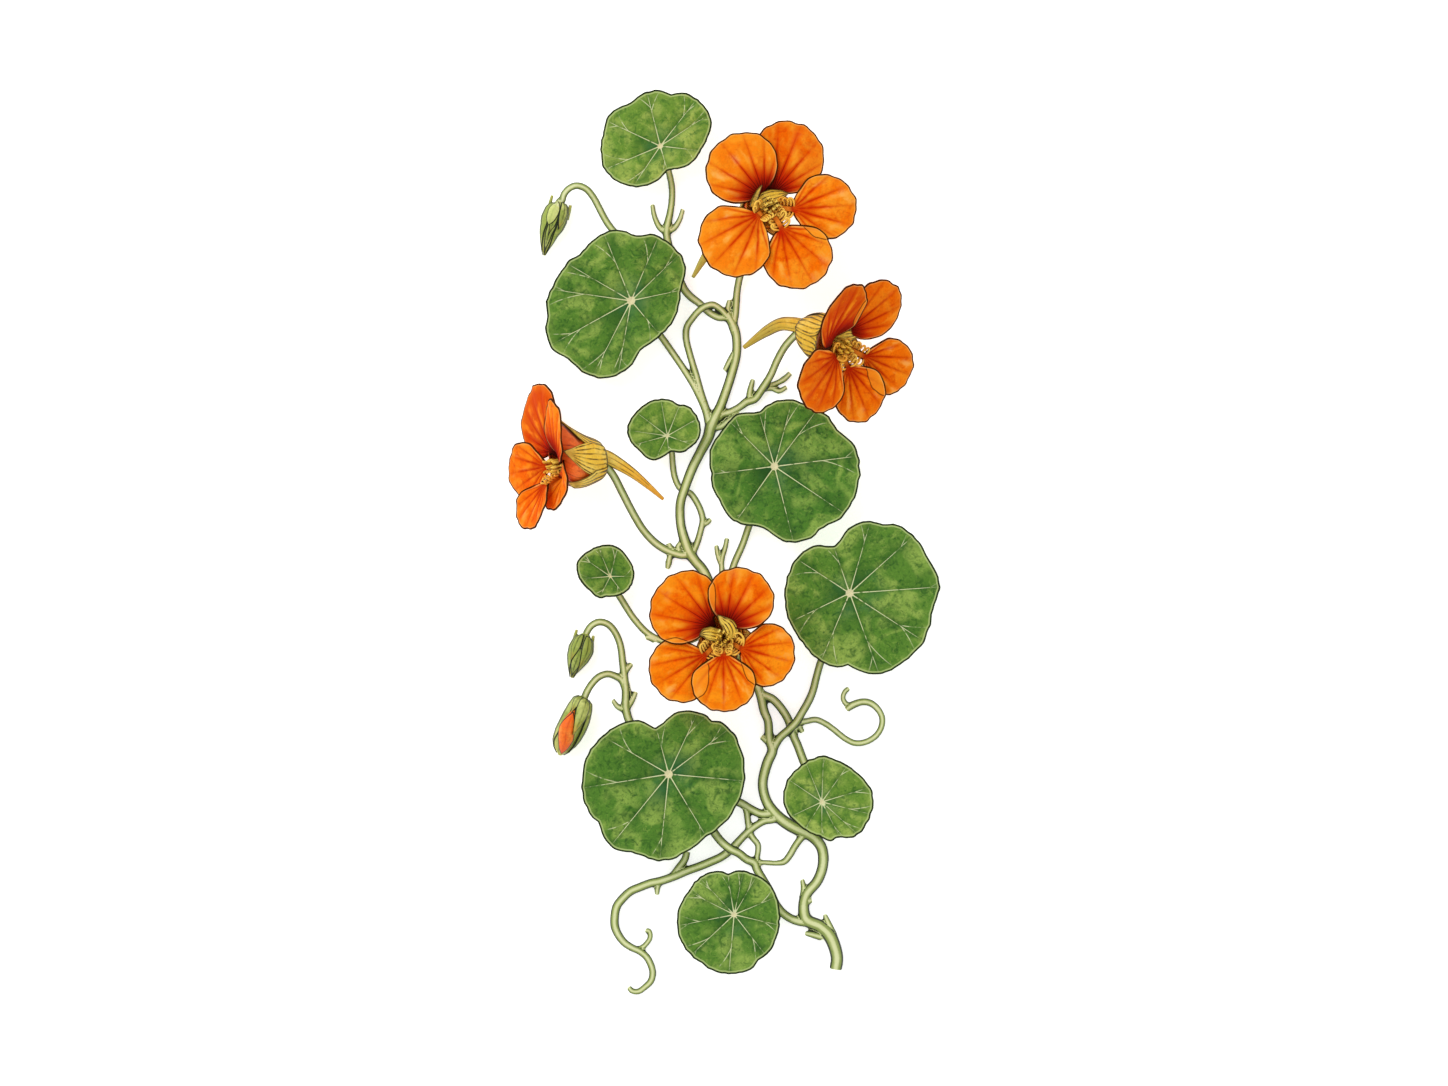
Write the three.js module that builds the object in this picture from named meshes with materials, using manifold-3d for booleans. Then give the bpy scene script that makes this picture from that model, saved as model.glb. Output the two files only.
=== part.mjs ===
// A cut nasturtium shoot lying flat: one branched stem with nine round leaves on long stalks,
// four spurred flowers, three nodding buds and two curled tendrils.
// Units are millimetres. X runs to the right, Y towards the growing tip and Z up from the
// surface that the shoot lies on.
import * as THREE from "three";
import { mergeVertices } from "three/addons/utils/BufferGeometryUtils.js";
import Module from "manifold-3d";

const wasm = await Module();
wasm.setup();

// ---------------------------------------------------------------- driving dimensions
const LEAF_THICKNESS = 0.7;
const PETAL_THICKNESS = 0.7;
const SEPAL_THICKNESS = 0.9;
const GAP = 0.3; // clearance between two pieces that meet
const PRESSED_FLAT = 0.15; // how far the main stem's underside is flattened on the surface
const LYING_CLEAR = 0.05; // the finer stems lie this far above it
const STEM_SIDES = 6;
const STEM_DETAIL = 0.75; // rings per stretch between two route points
const TWIG_SIDES = 4;
const BUD_SIDES = 10;

const LEAF_DISH = 2.4; // rise of a blade from its centre to its edge
const LEAF_PUFF = 0.55; // swelling of the blade between two main veins
const LEAF_WAVE = 0.5; // slow wave of the edge
const LEAF_ROWS = 3;
const LEAF_SEAT = 0.7; // from a blade's middle down to the end of its stalk

const CUP_DEPTH = 15.5; // from the flower's throat down to its stalk
const CUP_RADIUS = 8.3;
const SEPAL_REACH = 11.4;
const SEPAL_DROP = 0.8; // how far the sepals' tips stay behind the throat
const THROAT_DEPTH = 7; // how steeply the petals dive into the throat
const THROAT_RADIUS = 10;
const PETAL_ROOT = 3.8; // distance of a petal's root from the flower's axis
const ROOT_WIDTH = 2.5; // of a petal
const LIFT = 1.8; // one layer of overlapping petals
const PETAL_CURL = 1.6; // how far a petal's tip bends back
const PETAL_RUFFLE = 0.2;

// ---------------------------------------------------------------- what grows where
// A leaf: centre of the blade, its slopes, the angle of each main vein, and the edge as
// [angle in degrees, distance from the centre], both counted from the stalk's attachment.
const LEAVES = {
  leaf_1: {
    centre: [4, -133.5, 8.6],
    slope: [0.03, -0.02],
    split: 3,
    veins: [23, 60, 78, 99, 133, 153, 191, 223, 265, 308, 347],
    edge: [[10, 16.5], [40, 17], [63, 16.5], [87, 16], [98, 15], [107, 16.5], [126, 18], [162, 19], [171, 20],
      [195, 21], [216, 21.5], [239, 21], [246, 21.5], [264, 21.5], [291, 20], [298, 18.5], [313, 18.5], [340, 17]],
  },
  leaf_2: {
    centre: [-19.5, -83, 10],
    slope: [-0.02, 0.03],
    split: 4,
    veins: [37, 65, 105, 150, 189, 231, 264, 301, 355],
    edge: [[1, 27.5], [20, 27.5], [35, 27.5], [46, 26.5], [51, 25], [63, 25], [80, 23], [105, 17.5], [118, 22],
      [130, 24.5], [150, 27.5], [170, 30.5], [191, 31.5], [207, 32], [215, 31], [227, 33], [236, 33], [247, 31],
      [261, 31.5], [275, 30.5], [280, 29], [301, 26.5], [330, 27]],
  },
  leaf_3: {
    centre: [35.5, -93, 9],
    slope: [0.05, 0.02],
    split: 3,
    veins: [17, 55, 88, 112, 146, 205, 238, 270, 297, 318, 346],
    edge: [[9, 18.5], [34, 17], [59, 16], [91, 16.5], [125, 15], [157, 14.5], [190, 13.5], [218, 12], [254, 12],
      [272, 13], [283, 14.5], [294, 14], [312, 17], [340, 18.2]],
  },
  leaf_4: {
    centre: [45.5, -18, 9.6],
    slope: [0.02, 0.04],
    split: 4,
    veins: [4, 42, 74, 109, 147, 206, 247, 290, 327],
    edge: [[7, 32.5], [23, 31], [36, 31], [50, 30.5], [58, 29.5], [64, 27.5], [74, 27], [89, 24], [107, 18],
      [128, 21.5], [150, 23], [180, 23.5], [205, 24], [224, 24.5], [245, 26.5], [262, 27], [269, 26], [281, 29.5],
      [297, 31.5], [312, 31.5], [326, 32], [347, 30.5]],
  },
  leaf_5: {
    centre: [-40.5, -12, 8],
    slope: [-0.06, 0.02],
    split: 3,
    veins: [0, 76, 112, 145, 185, 243, 307],
    edge: [[25, 9], [52, 9.5], [76, 11], [99, 11.5], [127, 12], [138, 12.5], [156, 13], [168, 12.5], [193, 10.5],
      [216, 9], [232, 9], [248, 8.5], [259, 7.5], [290, 7.5], [325, 8.2], [351, 8.5]],
  },
  leaf_6: {
    centre: [18.5, 27.5, 9],
    slope: [0.03, -0.03],
    split: 4,
    veins: [7, 53, 75, 106, 135, 187, 235, 284, 326],
    edge: [[8, 30.5], [16, 29.5], [29, 26.5], [46, 26.5], [54, 25], [67, 25], [81, 24.5], [95, 22.5], [107, 20.5],
      [125, 23], [146, 23], [167, 24], [186, 23], [192, 23.5], [212, 23.5], [231, 24.5], [246, 23.5], [261, 22.5],
      [274, 26.5], [282, 28], [296, 29], [308, 28], [324, 30.5], [345, 31]],
  },
  leaf_7: {
    centre: [-20, 38.5, 8.2],
    slope: [-0.04, 0.04],
    split: 3,
    veins: [30, 68, 100, 143, 172, 195, 243, 275, 340],
    edge: [[18, 12.5], [40, 13], [60, 13], [68, 12], [86, 13], [117, 14], [136, 14], [156, 14.5], [176, 14.5],
      [209, 11.5], [224, 11], [242, 10], [262, 7.5], [285, 6], [310, 8], [334, 9.5], [356, 11.5]],
  },
  leaf_8: {
    centre: [-33, 87, 9.6],
    slope: [-0.03, -0.02],
    split: 3,
    veins: [12, 44, 67, 112, 150, 172, 209, 243, 260, 310],
    edge: [[8, 18], [18, 19.5], [31, 23], [54, 25], [73, 25], [86, 23.5], [100, 26], [119, 26], [139, 25],
      [146, 26.5], [165, 28], [180, 30.5], [191, 30.5], [199, 32.5], [212, 33.2], [224, 31], [242, 31], [257, 28],
      [270, 23.5], [280, 18.5], [295, 17], [311, 16.5], [340, 17]],
  },
  leaf_9: {
    centre: [-22.5, 142.5, 12],
    slope: [0.03, 0.06],
    split: 4,
    veins: [33, 52, 104, 155, 203, 236, 286, 353],
    edge: [[5, 16.5], [26, 20.5], [50, 21.5], [70, 20.5], [77, 19], [91, 20], [108, 19.8], [126, 19], [147, 21.5],
      [165, 21], [184, 21.5], [202, 22], [213, 21], [241, 17], [268, 12], [285, 9.5], [303, 10], [326, 12.5],
      [350, 14.5]],
  },
};

// A flower: its throat, the way it faces and which way its top points. The rest is in its own
// frame: `lean` shifts the bottom of its cup and `flare` its mouth, the spur behind it is a stem
// route, and each petal leaves the throat at `turn` degrees, aims its blade at `aim` and opens
// by `spread`.
const FLOWERS = {
  flower_1: {
    throat: [16, 120.5, 31],
    faces: [0.2, 0.12, 0.97],
    top: [0.05, 1, 0],
    lean: [0, 0],
    flare: [0, 0],
    spur: [[-1, 1, 5.8, -13.4], [-1.2, 0.8, 5.8, -15.6], [-5, -3, 4.8, -18.6], [-11.5, -9, 3.6, -20.5],
      [-17.4, -15.2, 2.9, -20], [-21.8, -23.6, 1.2, -18.6]],
    petals: {
      upper_left: { turn: 124, aim: 130, claw: 4.8, neck: 5, length: 25.5, width: 27, spread: 84, layer: 1 },
      upper_right: { turn: 70, aim: 66, claw: 6.4, neck: 5, length: 26, width: 23.6, spread: 84, layer: 0 },
      side_right: { turn: -8, aim: 7, claw: 10.2, neck: 2.8, length: 21.8, width: 22.6, spread: 84, layer: 1 },
      lowest: { turn: -64, aim: -57, claw: 9.4, neck: 2.8, length: 23.4, width: 24, spread: 84, layer: 2 },
      side_left: { turn: -135, aim: -131, claw: 6.4, neck: 3.4, length: 26, width: 25.4, spread: 84, layer: 3 },
    },
  },
  flower_2: {
    throat: [41, 71.5, 25],
    faces: [0.573, -0.228, 0.788],
    top: [0.37, 0.93, 0],
    lean: [-5.5, 0.5],
    flare: [0, 0],
    spur: [[-4.5, 0.8, 6, -13.4], [-5.6, 1, 5.8, -15.8], [-7, 0.6, 5.4, -19], [-8.7, -1.5, 4.2, -23.5],
      [-10.4, -6.2, 3, -27.5], [-12.7, -13.5, 1.4, -31.5]],
    petals: {
      upper_left: { turn: 168, aim: 108, claw: 8.4, neck: 3.6, length: 25.5, width: 18.6, spread: 62, layer: 1 },
      upper_right: { turn: 82, aim: 58, claw: 6, neck: 4.4, length: 25, width: 20.5, spread: 75, layer: 0 },
      side_right: { turn: -4, aim: 0, claw: 11.5, neck: 2.8, length: 21.5, width: 20.8, spread: 75, layer: 0 },
      lowest: { turn: -52, aim: -44, claw: 8.5, neck: 2.8, length: 21.8, width: 22, spread: 75, layer: 1 },
      side_left: { turn: -118, aim: -117, claw: 5.2, neck: 3, length: 25, width: 23, spread: 70, layer: 2 },
    },
  },
  flower_3: {
    throat: [-58.5, 28, 23.8],
    faces: [-0.93, -0.12, 0.35],
    top: [-0.1, 1, 0],
    lean: [0, 0],
    flare: [0, 1.8],
    spur: [[0, 1.5, 6, -13.4], [0, 1.3, 5.8, -15.6], [-0.4, 0.3, 5.4, -18.5], [-0.8, -3, 4.4, -23.5],
      [-1, -6.7, 3.4, -28.1], [-1.3, -12, 2.2, -33.5], [-1.4, -16.9, 1.2, -38.1]],
    petals: {
      upper_left: { turn: 128, aim: 118, claw: 6.6, neck: 4, length: 25.5, width: 24, spread: 83, layer: 0 },
      upper_right: { turn: 50, aim: 52, claw: 6.6, neck: 4, length: 20, width: 16, spread: 76, layer: 0 },
      side_right: { turn: -20, aim: -76, claw: 5.6, neck: 2.8, length: 17, width: 23.5, spread: 72, layer: 0 },
      lowest: { turn: -100, aim: -104, claw: 7, neck: 2.8, length: 19.6, width: 20, spread: 55, layer: 1 },
      side_left: { turn: 182, aim: 182, claw: 7, neck: 2.8, length: 22, width: 20.5, spread: 67, layer: 0 },
    },
  },
  flower_4: {
    throat: [-0.5, -33.5, 31],
    faces: [0.02, 0.03, 1],
    top: [0.03, 1, 0],
    lean: [0, 0],
    flare: [0, 0],
    spur: [[-0.5, 1, 5.8, -13.4], [-1.2, 1.8, 5.6, -15.6], [-4.5, 3.5, 4.6, -19.5], [-10, 3, 3.4, -22.5],
      [-16, -2, 2.4, -24], [-19.5, -6.5, 1.5, -23.5]],
    petals: {
      upper_left: { turn: 133, aim: 150, claw: 6, neck: 4.6, length: 24, width: 27, spread: 84, layer: 1 },
      upper_right: { turn: 65, aim: 65, claw: 4.8, neck: 5, length: 21.5, width: 23.5, spread: 84, layer: 2 },
      side_right: { turn: -30, aim: -13, claw: 7.9, neck: 2.8, length: 20, width: 22, spread: 84, layer: 0 },
      lowest: { turn: -83, aim: -88, claw: 6.4, neck: 2.8, length: 20.8, width: 22.8, spread: 84, layer: 1 },
      side_left: { turn: -130, aim: -147, claw: 8.7, neck: 2.8, length: 21.8, width: 21.6, spread: 84, layer: 0 },
    },
  },
};

// The stem and everything fused to it. A route point is [x, y, thickness] where the stem lies
// on the surface, or [x, y, thickness, height of its middle] where it is lifted.
const STEMS = {
  main_stem: [[40.5, -153.5, 4.3], [41, -149, 4.3], [38.5, -141.5, 4.7], [35, -138, 4.5], [30, -135.5, 4.3],
    [29, -131, 3.8], [30, -126.5, 3.6], [34, -121.5, 3.6], [36, -115.5, 3.6], [35.4, -109.5, 3.8], [32, -105.5, 4],
    [27.6, -103.3, 4.3], [24, -101.5, 4.3], [20, -98.6, 4], [16, -93.6, 3.6], [14.4, -88.5, 3.4], [14.4, -85, 3.4],
    [16, -79, 3.6], [17.8, -74.5, 3.6], [16.7, -71, 3.1], [16.2, -64, 2.9], [14.8, -60.5, 3.1], [13.5, -54.7, 3.2],
    [10.4, -46.5, 3.2], [2.5, -35, 3.4], [-6.8, -10.5, 3.6], [-10, -6.5, 3.6], [-12.2, -3.2, 4], [-13.8, 1, 3.6],
    [-15.1, 6, 3.2], [-15.5, 11, 3.2], [-15.2, 15, 3.2, 3], [-14, 19, 3.2, 3.9], [-11, 27, 3.4, 2], [-8.3, 32.4, 3.4],
    [-5.2, 38.5, 4], [-4.3, 42, 4.3], [-1, 49, 3.4], [1.4, 55.5, 3.2], [3.2, 61.2, 3.2], [4.7, 67, 3.1],
    [5, 71.6, 3.1], [4.3, 76.7, 3.2], [1.8, 82, 3.2]],
  upper_stem: [[4.3, 75.6, 2.9], [1.8, 81, 2.7], [-1.6, 81.2, 2.5], [-5, 83, 2.5], [-8.7, 86.4, 2.5],
    [-11.6, 88.6, 2.7], [-14, 91.4, 2.7], [-17.3, 100, 2.7], [-20.2, 110.2, 2.6], [-20.2, 113.4, 2.7],
    [-19, 119, 2.2], [-18.4, 123.5, 2], [-18.4, 128, 2], [-19.5, 133.5, 2, 2.5], [-21.2, 138.5, 2, 7]],
  twining_shoot: [[-4.3, 42.5, 2.5], [-6.1, 48.6, 2.3], [-8, 54.4, 2.2], [-9.7, 60.5, 2.2], [-11.9, 67.7, 2.2],
    [-13.3, 73.8, 2.2], [-13, 77.8, 2.2], [-11.2, 80.6, 2.2, 2], [-8.7, 83.5, 2.2, 3.6], [-6.5, 85, 2.2, 4.2],
    [-3.7, 85.7, 2.2, 3.6], [-1, 84.2, 2.2, 2.6], [1.4, 81.7, 2.2, 2]],
  second_shoot: [[-3, 41.5, 2.2], [-1, 41.8, 2.2], [1.5, 43.5, 2.2], [5.5, 46.5, 2]],
  sprig_stem: [[-0.4, -17, 1.8], [-0.4, -11.5, 1.6], [-0.4, -6, 1.4], [0.7, -2, 1.3], [1.5, 1.8, 1.1]],
  tendril_1: [[25, -66, 1.8], [26, -65.2, 1.8, 2.4], [30.6, -64, 1.8, 1.2], [33.5, -63.6, 1.8], [37, -65.1, 1.8],
    [40.2, -67.4, 1.8], [44, -70.4, 1.8], [47.5, -72, 1.8], [51.4, -71.6, 1.8], [55, -69.4, 1.8], [57, -66.2, 1.8],
    [57.2, -62.6, 1.8], [55.4, -59.4, 2], [52.8, -57.5, 2.2], [50, -57.2, 2.2], [46.5, -58.4, 2.5], [44.4, -60, 1.8]],
  tendril_1_hook: [[47, -58.6, 1.6], [44.4, -58, 1.3], [43.2, -56, 1.2], [43.8, -53.6, 1.2], [45.4, -52.2, 1.1]],
  budding_stem: [[18.4, -97, 3.2], [14, -97.5, 2.9], [10.4, -96, 2.9], [6.8, -93.8, 2.9], [5, -93, 2.9],
    [-0.4, -90.6, 2.9], [-6, -85.4, 2.9], [-12, -77, 2.9], [-20, -71.6, 2.9], [-27.5, -69.5, 2.9], [-32.6, -66, 2.9],
    [-34.9, -60, 2.9], [-35, -53, 2.7], [-36, -44, 2.5], [-37, -36.6, 2.3, 1.6], [-38.9, -31.4, 2.3, 3],
    [-41.4, -28.4, 2.3, 4.6], [-44.6, -27.6, 2.3, 5.6], [-47.5, -29.2, 2.2, 5.4], [-48.8, -31.8, 2.2, 5.2]],
  bud_3_stalk: [[-35, -53, 2.5], [-36.4, -49.4, 2.5], [-38.5, -47.2, 2.3, 2], [-41.4, -46.3, 2.3, 3.5],
    [-44.6, -47.2, 2.3, 5.2], [-47.5, -49.7, 2.3, 6.4], [-49.6, -53, 2.3, 7], [-50.8, -55.6, 2.3, 7]],
  bud_1_stalk: [[-18.4, 101, 2.2], [-24.5, 104.8, 2.2], [-31.4, 107.6, 2.2], [-37, 110.2, 2.2], [-40, 113, 2.2],
    [-42.5, 116.6, 2.2], [-44.6, 120.6, 2.2, 1.8], [-46.8, 124.6, 2.2, 3.2], [-49.3, 127.4, 2.2, 4.6],
    [-52.6, 128.5, 2.2, 5.6], [-55.4, 127.4, 2.2, 5.6], [-57.2, 125.3, 2.2, 5.6], [-58, 122.8, 2.2, 5.6]],
  tendril_2: [[19, -98.5, 2.9], [18, -99.5, 2.5], [15, -100, 2.5], [12.2, -101.5, 2.5], [8.6, -104.3, 2.5],
    [6, -107, 2.7], [3, -110.2, 2.9], [-0.7, -113, 2.9], [-4.4, -114.7, 2.9], [-8.3, -116.3, 2.9], [-13, -118, 2.9],
    [-17.4, -119.9, 2.9], [-22.7, -121.7, 2.9], [-26, -122.4, 2.9], [-30, -123.9, 2.9], [-33.2, -125.3, 2.9],
    [-36, -127.8, 2.9], [-38.2, -130.7, 2.9], [-39, -134.6, 2.9], [-38.9, -138, 2.9], [-37.6, -141.1, 2.7],
    [-35.3, -144, 2.5], [-32.4, -145.8, 2.3], [-30, -146.9, 2.3], [-27.5, -149, 2.3], [-25.9, -152, 2.3],
    [-25.3, -154.8, 2.2], [-26, -157.7, 2.1], [-28.1, -159.8, 1.8], [-30.4, -161.4, 1.6], [-32.8, -161.2, 1.4],
    [-34, -159.8, 1.3]],
  tendril_2_curl: [[-33.5, -145.8, 1.6], [-31.4, -146.2, 1.4], [-29, -145.5, 1.4], [-27.4, -144, 1.3],
    [-26.2, -141.9, 1.3], [-26.6, -139.7, 1.3], [-28, -139.4, 1.2]],
  shoot_between: [[8, -94.5, 2.2], [8.5, -96.5, 2.2], [9, -100.4, 2], [9.5, -103.9, 2], [10.8, -106.2, 2],
    [12.6, -108.7, 1.8], [12.2, -113.4, 1.6], [11.9, -116, 1.6]],
  shoot_right: [[30, -104, 2.5], [28.6, -105.5, 2.5], [26, -109, 2.3], [23.8, -112.7, 2.2], [22, -114.7, 2],
    [19.4, -115.2, 1.3], [15, -115, 1.2], [12, -115, 1.2]],
  shoot_left: [[-13, -111, 2.3], [-13.7, -113.8, 2.5], [-15.5, -116.3, 2.5], [-18, -119.5, 2.2]],
};

// Stalks that carry a leaf: the route up to where the blade's own centre is added to it.
const LEAF_STALKS = {
  leaf_1: [[17.4, -126.5, 2.5], [14, -128.5, 2.5], [10.4, -130.7, 2.5, 2.6], [7, -132.5, 2.5, 5.4]],
  leaf_2: [[31.3, -136, 3.6], [29, -136.4, 3.1], [25, -135.4, 2.9], [21.6, -133.2, 2.9], [19, -130, 2.9],
    [17, -125.6, 2.9], [14.3, -121, 2.9], [12.2, -117.4, 2.9], [11.4, -115.2, 2.9], [8.5, -113.8, 2.9, 2],
    [5.7, -111.6, 2.9, 3.6], [2.9, -110.2, 2.9, 4.4], [0, -108, 2.9, 3.6], [-2.5, -105.1, 2.9, 2],
    [-6, -99.6, 2.9], [-11.2, -93.2, 2.9, 2.6], [-15.8, -87.2, 2.9, 6]],
  leaf_3: [[12.6, -52.2, 2.5], [13.7, -54, 2.7], [17.9, -56.2, 2.9], [20.9, -59.4, 2.9], [23.4, -63.4, 2.9],
    [24.5, -66.6, 2.9], [25.6, -70, 2.9], [26.8, -72.7, 2.9], [28.3, -76.7, 2.9], [30.6, -82.5, 2.9, 2.2],
    [33, -88.4, 2.7, 5.2]],
  leaf_4: [[16.9, -77, 3.2], [17.8, -74.5, 3.2], [20.2, -70.4, 2.9], [23.8, -67, 2.7, 3.6], [26, -64.8, 2.7, 4.7],
    [28.3, -61.2, 2.7, 3], [31, -56.5, 2.7], [32.4, -53, 2.6], [33.8, -47.5, 2.5], [35.3, -42.5, 2.5, 1.6],
    [38.5, -35, 2.5, 2.5], [42.5, -24.8, 2.5, 5.8]],
  leaf_5: [[1, -30.6, 2.5], [-3, -30.6, 2.3], [-12, -35, 2.2], [-20.9, -35.3, 2.2], [-26.3, -33.1, 2.2],
    [-31.7, -27.7, 2.2], [-36.4, -20.5, 2.2, 2.2], [-39.2, -15.8, 2.2, 5]],
  leaf_6: [[-0.4, -23.4, 2.5], [1.8, -15, 2.3], [4, -7.6, 2.3], [7.1, -0.4, 2.3], [9.7, 7, 2.3, 1.6],
    [13.3, 15.5, 2.3, 2.6], [16.6, 22.7, 2.3, 5.4]],
  leaf_7: [[-11.5, -4.7, 2.2], [-10.2, -2.2, 2], [-9, 1, 2], [-7.9, 5, 2], [-7.3, 8.3, 2], [-8, 11.5, 2],
    [-9.7, 15.1, 2], [-11.9, 18, 1.9], [-14, 18.7, 1.9], [-15.8, 20.2, 1.9], [-17.4, 23.8, 1.9], [-18.1, 28.4, 1.9],
    [-18.4, 32.4, 1.9, 2.2], [-19.4, 35.6, 1.9, 5]],
  leaf_8: [[-5, 42.8, 2.9], [-6.1, 47.2, 2.5], [-7.9, 51.5, 2.3], [-10.4, 56.5, 2.2], [-13.7, 61.9, 2.2],
    [-17.6, 67.7, 2.2], [-21.6, 73.4, 2.2], [-26.3, 79.6, 2.2, 2.5], [-30, 84.2, 2.2, 6]],
  leaf_9: [[-19.5, 133.5, 2, 2.5], [-21.2, 138.5, 2, 7]],
};

// Stalks that carry a flower: the route up to where the bottom of its cup is added to it.
const FLOWER_STALKS = {
  flower_1: [[4, 79.6, 2.5], [4.5, 83, 2.5], [5, 90, 2.4], [5.8, 94.7, 2.4, 3], [7.6, 101, 2.4, 7],
    [10.4, 108, 2.3, 11], [12.4, 114, 2.3, 14]],
  flower_2: [[-4.3, 40.7, 2.9], [-0.7, 46, 2.7], [2.8, 47.2, 2.5], [6.1, 49, 2.5], [8.5, 50.8, 2.9],
    [11.4, 51.8, 2.7], [14.3, 55.8, 2.7, 2.5], [17.2, 60.5, 2.5, 4.5], [19.4, 65.5, 2.5, 7], [22.3, 70.6, 2.5, 10]],
  flower_3: [[-12.2, -3.2, 2.9], [-14, -4.3, 2.9], [-18.8, -3.2, 2.7], [-23.8, -0.4, 2.7], [-28.4, 4.3, 2.6, 3],
    [-32.5, 11, 2.6, 7], [-36.1, 18, 2.6, 12], [-39.7, 24.8, 2.6, 16]],
  flower_4: [[7, -41.5, 2.8], [4.5, -38, 2.6, 3], [2, -35.5, 2.6, 8], [-0.5, -34.5, 2.6, 12]],
};

// Bracts, nubs and sprigs: short tapering twigs, each rooted well inside the stem.
const TWIGS = {
  base_bract_left: [[40, -141.5, 2.5], [38.2, -137.5, 2], [36.5, -133.6, 1]],
  base_bract_right: [[35.6, -141.9, 2.5], [32.4, -141, 2], [29.5, -140.4, 1]],
  bract_lower: [[28.5, -128, 2], [29, -124.5, 1.6], [28.5, -121, 0.9]],
  nub_lower: [[30, -129.2, 2.2], [32, -128.5, 1.4]],
  nub_middle: [[16.2, -71.6, 2.2], [13.7, -69.7, 1.3]],
  sprout: [[25.6, -67, 2.2], [27.4, -66.3, 1.6, 1.6], [28.7, -68.2, 1.2, 1.6]],
  bract_top_left: [[-20.2, 112.3, 2.2], [-22.3, 113, 1.8], [-24.5, 117, 1.4], [-25.5, 122, 0.9]],
  bract_top_right: [[-20.2, 112.3, 2.2], [-18, 113, 1.8], [-15.8, 116, 1.4], [-14.4, 120.2, 0.9]],
  bract_upper: [[4, 68, 2.2], [2.2, 65.2, 1.6], [0.5, 62, 0.9]],
  bract_fork: [[2.2, 81.7, 2.3], [1.8, 84.2, 1.8], [2.3, 87.5, 0.9]],
  bract_stalk_2: [[9.4, 50.8, 2.3], [9.7, 54.4, 2], [10.8, 59, 1.1]],
  sprig_upper: [[15.5, 56.2, 1.8], [19.4, 57.6, 1.3], [22, 59, 1.8], [24.3, 61.2, 1.3]],
  sprig_lower: [[14.4, 55.4, 1.8], [17.6, 55.6, 1.2], [20.2, 54.7, 1.4], [23, 56.2, 0.9]],
  leaflet: [[-18.4, -2.9, 2.2], [-19.1, -4.7, 1.4], [-19.5, -6.9, 2.2], [-20, -9.4, 1]],
  spike_left: [[-17.3, -3.6, 2.2], [-18.7, -1.8, 1.4], [-19.6, 0, 0.9]],
  spike_right: [[-15.1, -4, 2.2], [-16.2, -1.5, 1.4], [-15.1, 0.4, 0.9]],
  bract_bud_right: [[-35, -59.8, 2.2], [-33.1, -57.3, 1.8], [-31.3, -53.5, 1.1]],
  bract_bud_left: [[-35.3, -59.8, 2.2], [-37.8, -59, 1.5], [-39.8, -56.4, 0.9]],
  bract_bud_upper: [[-36.4, -47.9, 2.2], [-34.6, -45.4, 2], [-32.8, -43.4, 1.1]],
  bract_bud_lower: [[-36, -47.9, 2.2], [-34.6, -50.8, 1.6], [-33.7, -54, 0.9]],
  bract_left: [[-24.5, -34.9, 2.2], [-26.3, -34, 2.2], [-27.9, -33.9, 1.2]],
  bract_fork_low: [[-7.2, 6.9, 1.8], [-5.8, 7.2, 1.3], [-4.3, 8.7, 0.9]],
  bract_tendril: [[-23, -121.7, 2.2], [-23.6, -124.2, 1.6], [-23.8, -126.7, 0.9]],
  sprig_side: [[-0.4, -8.3, 1.4], [-1.8, -4.7, 1.2], [-2.5, -0.7, 0.9]],
};

// A bud hangs from its stalk's end and lies on the surface: [x, y, thickness, height].
const BUDS = {
  bud_1: [[-58.2, 122.2, 2.4, 5.3], [-59, 119.6, 8, 5.3], [-60.2, 115.8, 10.3, 5.1], [-61.4, 112, 9.6, 4.7],
    [-62.6, 108.4, 7.2, 3.7], [-63.7, 105.6, 4, 2.7], [-64.4, 103.7, 1.2, 1.8]],
  bud_2: [[-49.2, -32.6, 2.4, 5], [-50, -34.8, 7.4, 5], [-51, -38.2, 9.6, 4.8], [-52.2, -41.4, 8.4, 4.3],
    [-53.3, -44.4, 5.6, 3.2], [-54, -46.6, 3, 2.3], [-54.4, -48.4, 1.2, 1.6]],
  bud_3_calyx: [[-51.2, -56.4, 3, 7], [-52.2, -58.6, 9, 7], [-53.6, -62.4, 12.8, 6.9], [-55, -66.2, 13.4, 6.8],
    [-56.4, -70, 11.6, 6.1], [-57.6, -73.6, 7.6, 4.6], [-58.4, -76, 2.4, 3.4]],
};
const BUD_3_PETALS = [[-53.2, -60, 2, 12], [-54.4, -62.6, 6, 10.9], [-55.8, -66, 8.4, 10.4],
  [-57.2, -69.8, 7.8, 9.3], [-58.2, -73, 4.8, 7], [-58.8, -75.2, 1.8, 5.4]];
const SEPAL_TIPS = {
  bud_1: [[[-61.8, 117, 2, 4.2], [-62.2, 121.6, 1.4, 4.6], [-61.4, 125, 0.9, 5]],
    [[-56.4, 116.4, 2, 4.2], [-55.4, 119.2, 1.4, 4.6], [-54.8, 121.4, 1, 5]]],
  bud_2: [[[-53.4, -37, 2, 4.2], [-53.2, -33.8, 1.4, 4.4], [-52.6, -31.2, 0.9, 4.6]],
    [[-48, -37.4, 2, 4.2], [-47, -35.2, 1.4, 4.6], [-46.6, -33.4, 0.9, 5]]],
};

// ---------------------------------------------------------------- materials
const finish = (color, roughness) => new THREE.MeshStandardMaterial({ color, roughness, metalness: 0 });
const stemGreen = finish(0xb4bf70, 0.55);
const leafGreen = finish(0x5f9438, 0.6);
const petalOrange = finish(0xf4760e, 0.6);
const calyxYellow = finish(0xdcae2c, 0.55);
const stamenYellow = finish(0xe0a52a, 0.6);
const budGreen = finish(0x9aa24a, 0.55);

// ---------------------------------------------------------------- closed solids from meshes
const UP = new THREE.Vector3(0, 0, 1);
const FLAT_ANGLE = Math.PI / STEM_SIDES; // turns a stem's section so that a flat lies down

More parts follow.
